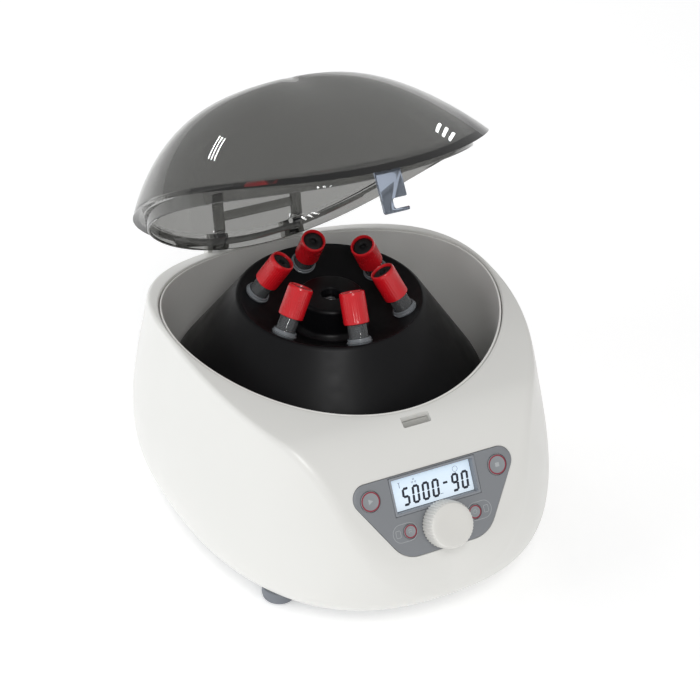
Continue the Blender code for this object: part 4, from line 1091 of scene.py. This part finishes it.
def make_display():
    outer = rounded_rectangle(WINDOW_W / 2 + BEZEL_WALL, WINDOW_H / 2 + BEZEL_WALL, 0.0006, arc_steps=6)
    inner = rounded_rectangle(WINDOW_W / 2, WINDOW_H / 2, 0.0004, arc_steps=6)
    lip = rounded_rectangle(WINDOW_W / 2 + 0.0005, WINDOW_H / 2 + 0.0005, 0.0005, arc_steps=6)
    levels = ((outer, -0.0058), (outer, 0.0004), (lip, 0.0006), (inner, 0.0001), (inner, -0.0058))
    rings = [[Vector((x, y, z)) for x, y in points] for points, z in levels]
    add("window_frame", rings_mesh(rings, closed=True), "bezel", place=FACE, replaces=("display_bezel",))
    glass = prism(rounded_rectangle(WINDOW_W / 2 - 0.0005, WINDOW_H / 2 - 0.0005, 0.0004), -0.0062, SCREEN_H, 0.0002)
    add("display_screen", glass, "screen", place=FACE, replaces=("display_module",))
    carrier = block((0.064, 0.028, 0.0028), (0.0, 0.0, -0.0077), 0.0005)
    add("display_carrier", carrier, "black", place=FACE)
    bottom, height, width, pitch = -0.0081, 0.0118, 0.0052, 0.00704
    shapes = digit_shapes("5000", -0.0220, bottom, width, height, pitch)
    shapes.append((rounded_rectangle(0.0016, 0.0007, 0.0003, (0.0095, bottom + height * 0.64), 3), None))
    shapes += digit_shapes("90", 0.0133, bottom, width, height, pitch)
    printed("display_digits", shapes, "dark_ink", lift=0.00005, level=SCREEN_H)
    icons = [ring_shape(0.0180, 0.0062, 0.0019, 0.0016)]
    for k in range(3):
        a = math.radians(90 + 120 * k)
        x, v = -0.0118 + 0.0013 * math.cos(a), 0.0062 + 0.0013 * math.sin(a)
        icons.append(ring_shape(x, v, 0.00065, 0.00035, 16))
    icons.append((rounded_rectangle(0.00025, 0.0016, 0.0002, (-0.0222, 0.0056), 3), None))
    icons.append((rounded_rectangle(0.0008, 0.0002, 0.00015, (-0.0222, 0.0074), 3), None))
    icons += [(rounded_rectangle(0.0011, 0.0002, 0.00015, (x, -0.0068), 3), None) for x in (0.0058, 0.0252)]
    printed("display_icons", icons, "soft_ink", lift=0.00004, level=SCREEN_H)


def make_knob():
    """A broad knob with fine serrations round its rim and a softly dished top."""
    rows = (
        (0.0, -0.0048, 0.0), (0.0030, -0.0048, 0.0), (0.0030, KNOB_BASE, 0.0),
        (KNOB_R - 0.0012, KNOB_BASE, 0.2), (KNOB_R - 0.0004, KNOB_BASE + 0.0002, 1.0),
        (KNOB_R, KNOB_BASE + 0.0010, 1.0), (KNOB_R - 0.0002, KNOB_TOP - 0.0034, 1.0),
        (KNOB_R - 0.0005, KNOB_TOP - 0.0018, 0.9), (KNOB_R - 0.0010, KNOB_TOP - 0.0009, 0.4),
        (KNOB_R - 0.0016, KNOB_TOP - 0.0003, 0.0), (KNOB_R - 0.0026, KNOB_TOP, 0.0),
        (KNOB_R - 0.0050, KNOB_TOP, 0.0), (KNOB_R * 0.4, KNOB_TOP - 0.0003, 0.0), (0.0, KNOB_TOP - 0.0004, 0.0),
    )
    tooth = [1.0 - abs(i / 6 - 0.5) * 2 for i in range(6)]
    place = FACE @ Matrix.Translation((0.0, KNOB_V, 0.0))
    add("knob_cap", ribbed(rows, 44, tooth, 0.00075), "knob", "knob", place, 26.0, ("speed_knob",))


# ---- rear fittings and the pieces kept from the CAD

def make_rear():
    outward = Matrix.Rotation(-math.pi / 2, 4, "X")
    inlet = rear_place(-REAR_X)
    for number, x in enumerate((-0.0136, 0.0136)):
        at = HOME @ inlet @ Matrix.Translation((x, 0.0029, 0.0098)) @ outward
        add(f"inlet_screw_{number + 1}", screw(0.0014, 0.0005), "steel", place=at)


KEPT = {
    "steel": ("motor_shaft", "motor_bracket", "hinge_pin_left", "hinge_pin_right", "latch_bolt"),
    "motor": ("motor_body", "latch_solenoid"),
    "rubber": ("shaft_boot", "motor_damper_1", "motor_damper_2", "motor_damper_3"),
    "board": ("control_board", "power_board"),
    "black": ("power_inlet", "switch_frame", "switch_rocker"),
}


def paint_kept_nodes():
    for paint, names in KEPT.items():
        for name in names:
            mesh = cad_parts[name].data
            mesh.materials.clear()
            mesh.materials.append(PAINT[paint])


# ---- studio

def make_floor():
    """A pale sheet that runs out flat under the machine."""
    bm = bmesh.new()
    bmesh.ops.create_grid(bm, x_segments=8, y_segments=8, size=12.0)
    mesh = bpy.data.meshes.new("floor")
    bm.to_mesh(mesh)
    bm.free()
    floor = bpy.data.objects.new("floor", mesh)
    bpy.context.scene.collection.objects.link(floor)
    sheet = surface("pale_sheet", (0.90, 0.90, 0.90), 0.7, 300.0, 0.00002, 0.004)
    shader = sheet.node_tree.nodes["Principled BSDF"]
    shader.inputs["Emission Color"].default_value = (1.0, 1.0, 1.0, 1.0)
    shader.inputs["Emission Strength"].default_value = 0.30
    mesh.materials.append(sheet)


def make_light(name, at, aim, size, power, mirrored, colour=(1.0, 1.0, 1.0)):
    """A soft lamp in metres and watts; only a mirrored one shows as a glint on glossy surfaces."""
    data = bpy.data.lights.new(name, "AREA")
    data.shape = "RECTANGLE"
    data.size, data.size_y = size
    data.energy = power
    data.color = colour
    lamp = bpy.data.objects.new(name, data)
    lamp.visible_glossy = mirrored
    lamp.visible_transmission = False
    bpy.context.scene.collection.objects.link(lamp)
    lamp.location = at
    lamp.rotation_euler = (Vector(aim) - Vector(at)).to_track_quat("-Z", "Y").to_euler()


def make_studio():
    make_floor()
    world = bpy.data.worlds.new("studio")
    world.use_nodes = True
    background = world.node_tree.nodes["Background"]
    background.inputs["Color"].default_value = (1.0, 1.0, 1.0, 1.0)
    background.inputs["Strength"].default_value = 0.52
    bpy.context.scene.world = world
    bpy.context.scene.view_settings.view_transform = "Standard"
    aim = (0.0, 0.0, 0.12)
    make_light("fill", (-1.5, 0.1, 0.7), aim, (0.9, 0.9), 6.0, False, (0.92, 0.96, 1.0))
    make_light("back", (-0.3, 1.3, 1.4), aim, (1.2, 0.5), 6.0, False)
    for i in range(3):
        make_light(f"front_strip_{i + 1}", (-0.51 + 0.12 * i, -1.10, 1.22), aim, (0.04, 0.8), 2.4, True)
        make_light(f"left_strip_{i + 1}", (-0.28, 1.47, 0.90 + 0.045 * i), aim, (0.22, 0.014), 0.25, True)
        make_light(f"right_strip_{i + 1}", (1.05 + 0.02 * i, 1.13 - 0.02 * i, 0.75), aim, (0.010, 0.17), 0.12, True)


def make_camera():
    """Looks down from the front left, from about 1.3 m."""
    azimuth, elevation, roll = math.radians(-28.41), math.radians(36.77), math.radians(2.85)
    target = Vector((-0.00628, ROTOR_Y - 0.0400, 0.1008))
    level = math.cos(elevation)
    back = Vector((math.sin(azimuth) * level, -math.cos(azimuth) * level, math.sin(elevation)))
    right = Vector((math.cos(azimuth), math.sin(azimuth), 0.0))
    up = back.cross(right)
    across = right * math.cos(roll) + up * math.sin(roll)
    upright = up * math.cos(roll) - right * math.sin(roll)
    eye = target + back * 1.325
    data = bpy.data.cameras.new("camera")
    data.sensor_width = 36.0
    data.lens = 102.03
    data.shift_x = 0.0048
    data.shift_y = 0.0544
    camera = bpy.data.objects.new("camera", data)
    bpy.context.scene.collection.objects.link(camera)
    turn = Matrix((across, upright, back)).transposed().to_4x4()
    camera.matrix_world = Matrix.Translation(eye) @ turn
    bpy.context.scene.camera = camera


make_housing()
make_base()
make_liner()
make_rotor()
make_tubes()
make_lid()
make_panel()
make_rear()
paint_kept_nodes()
make_studio()
make_camera()
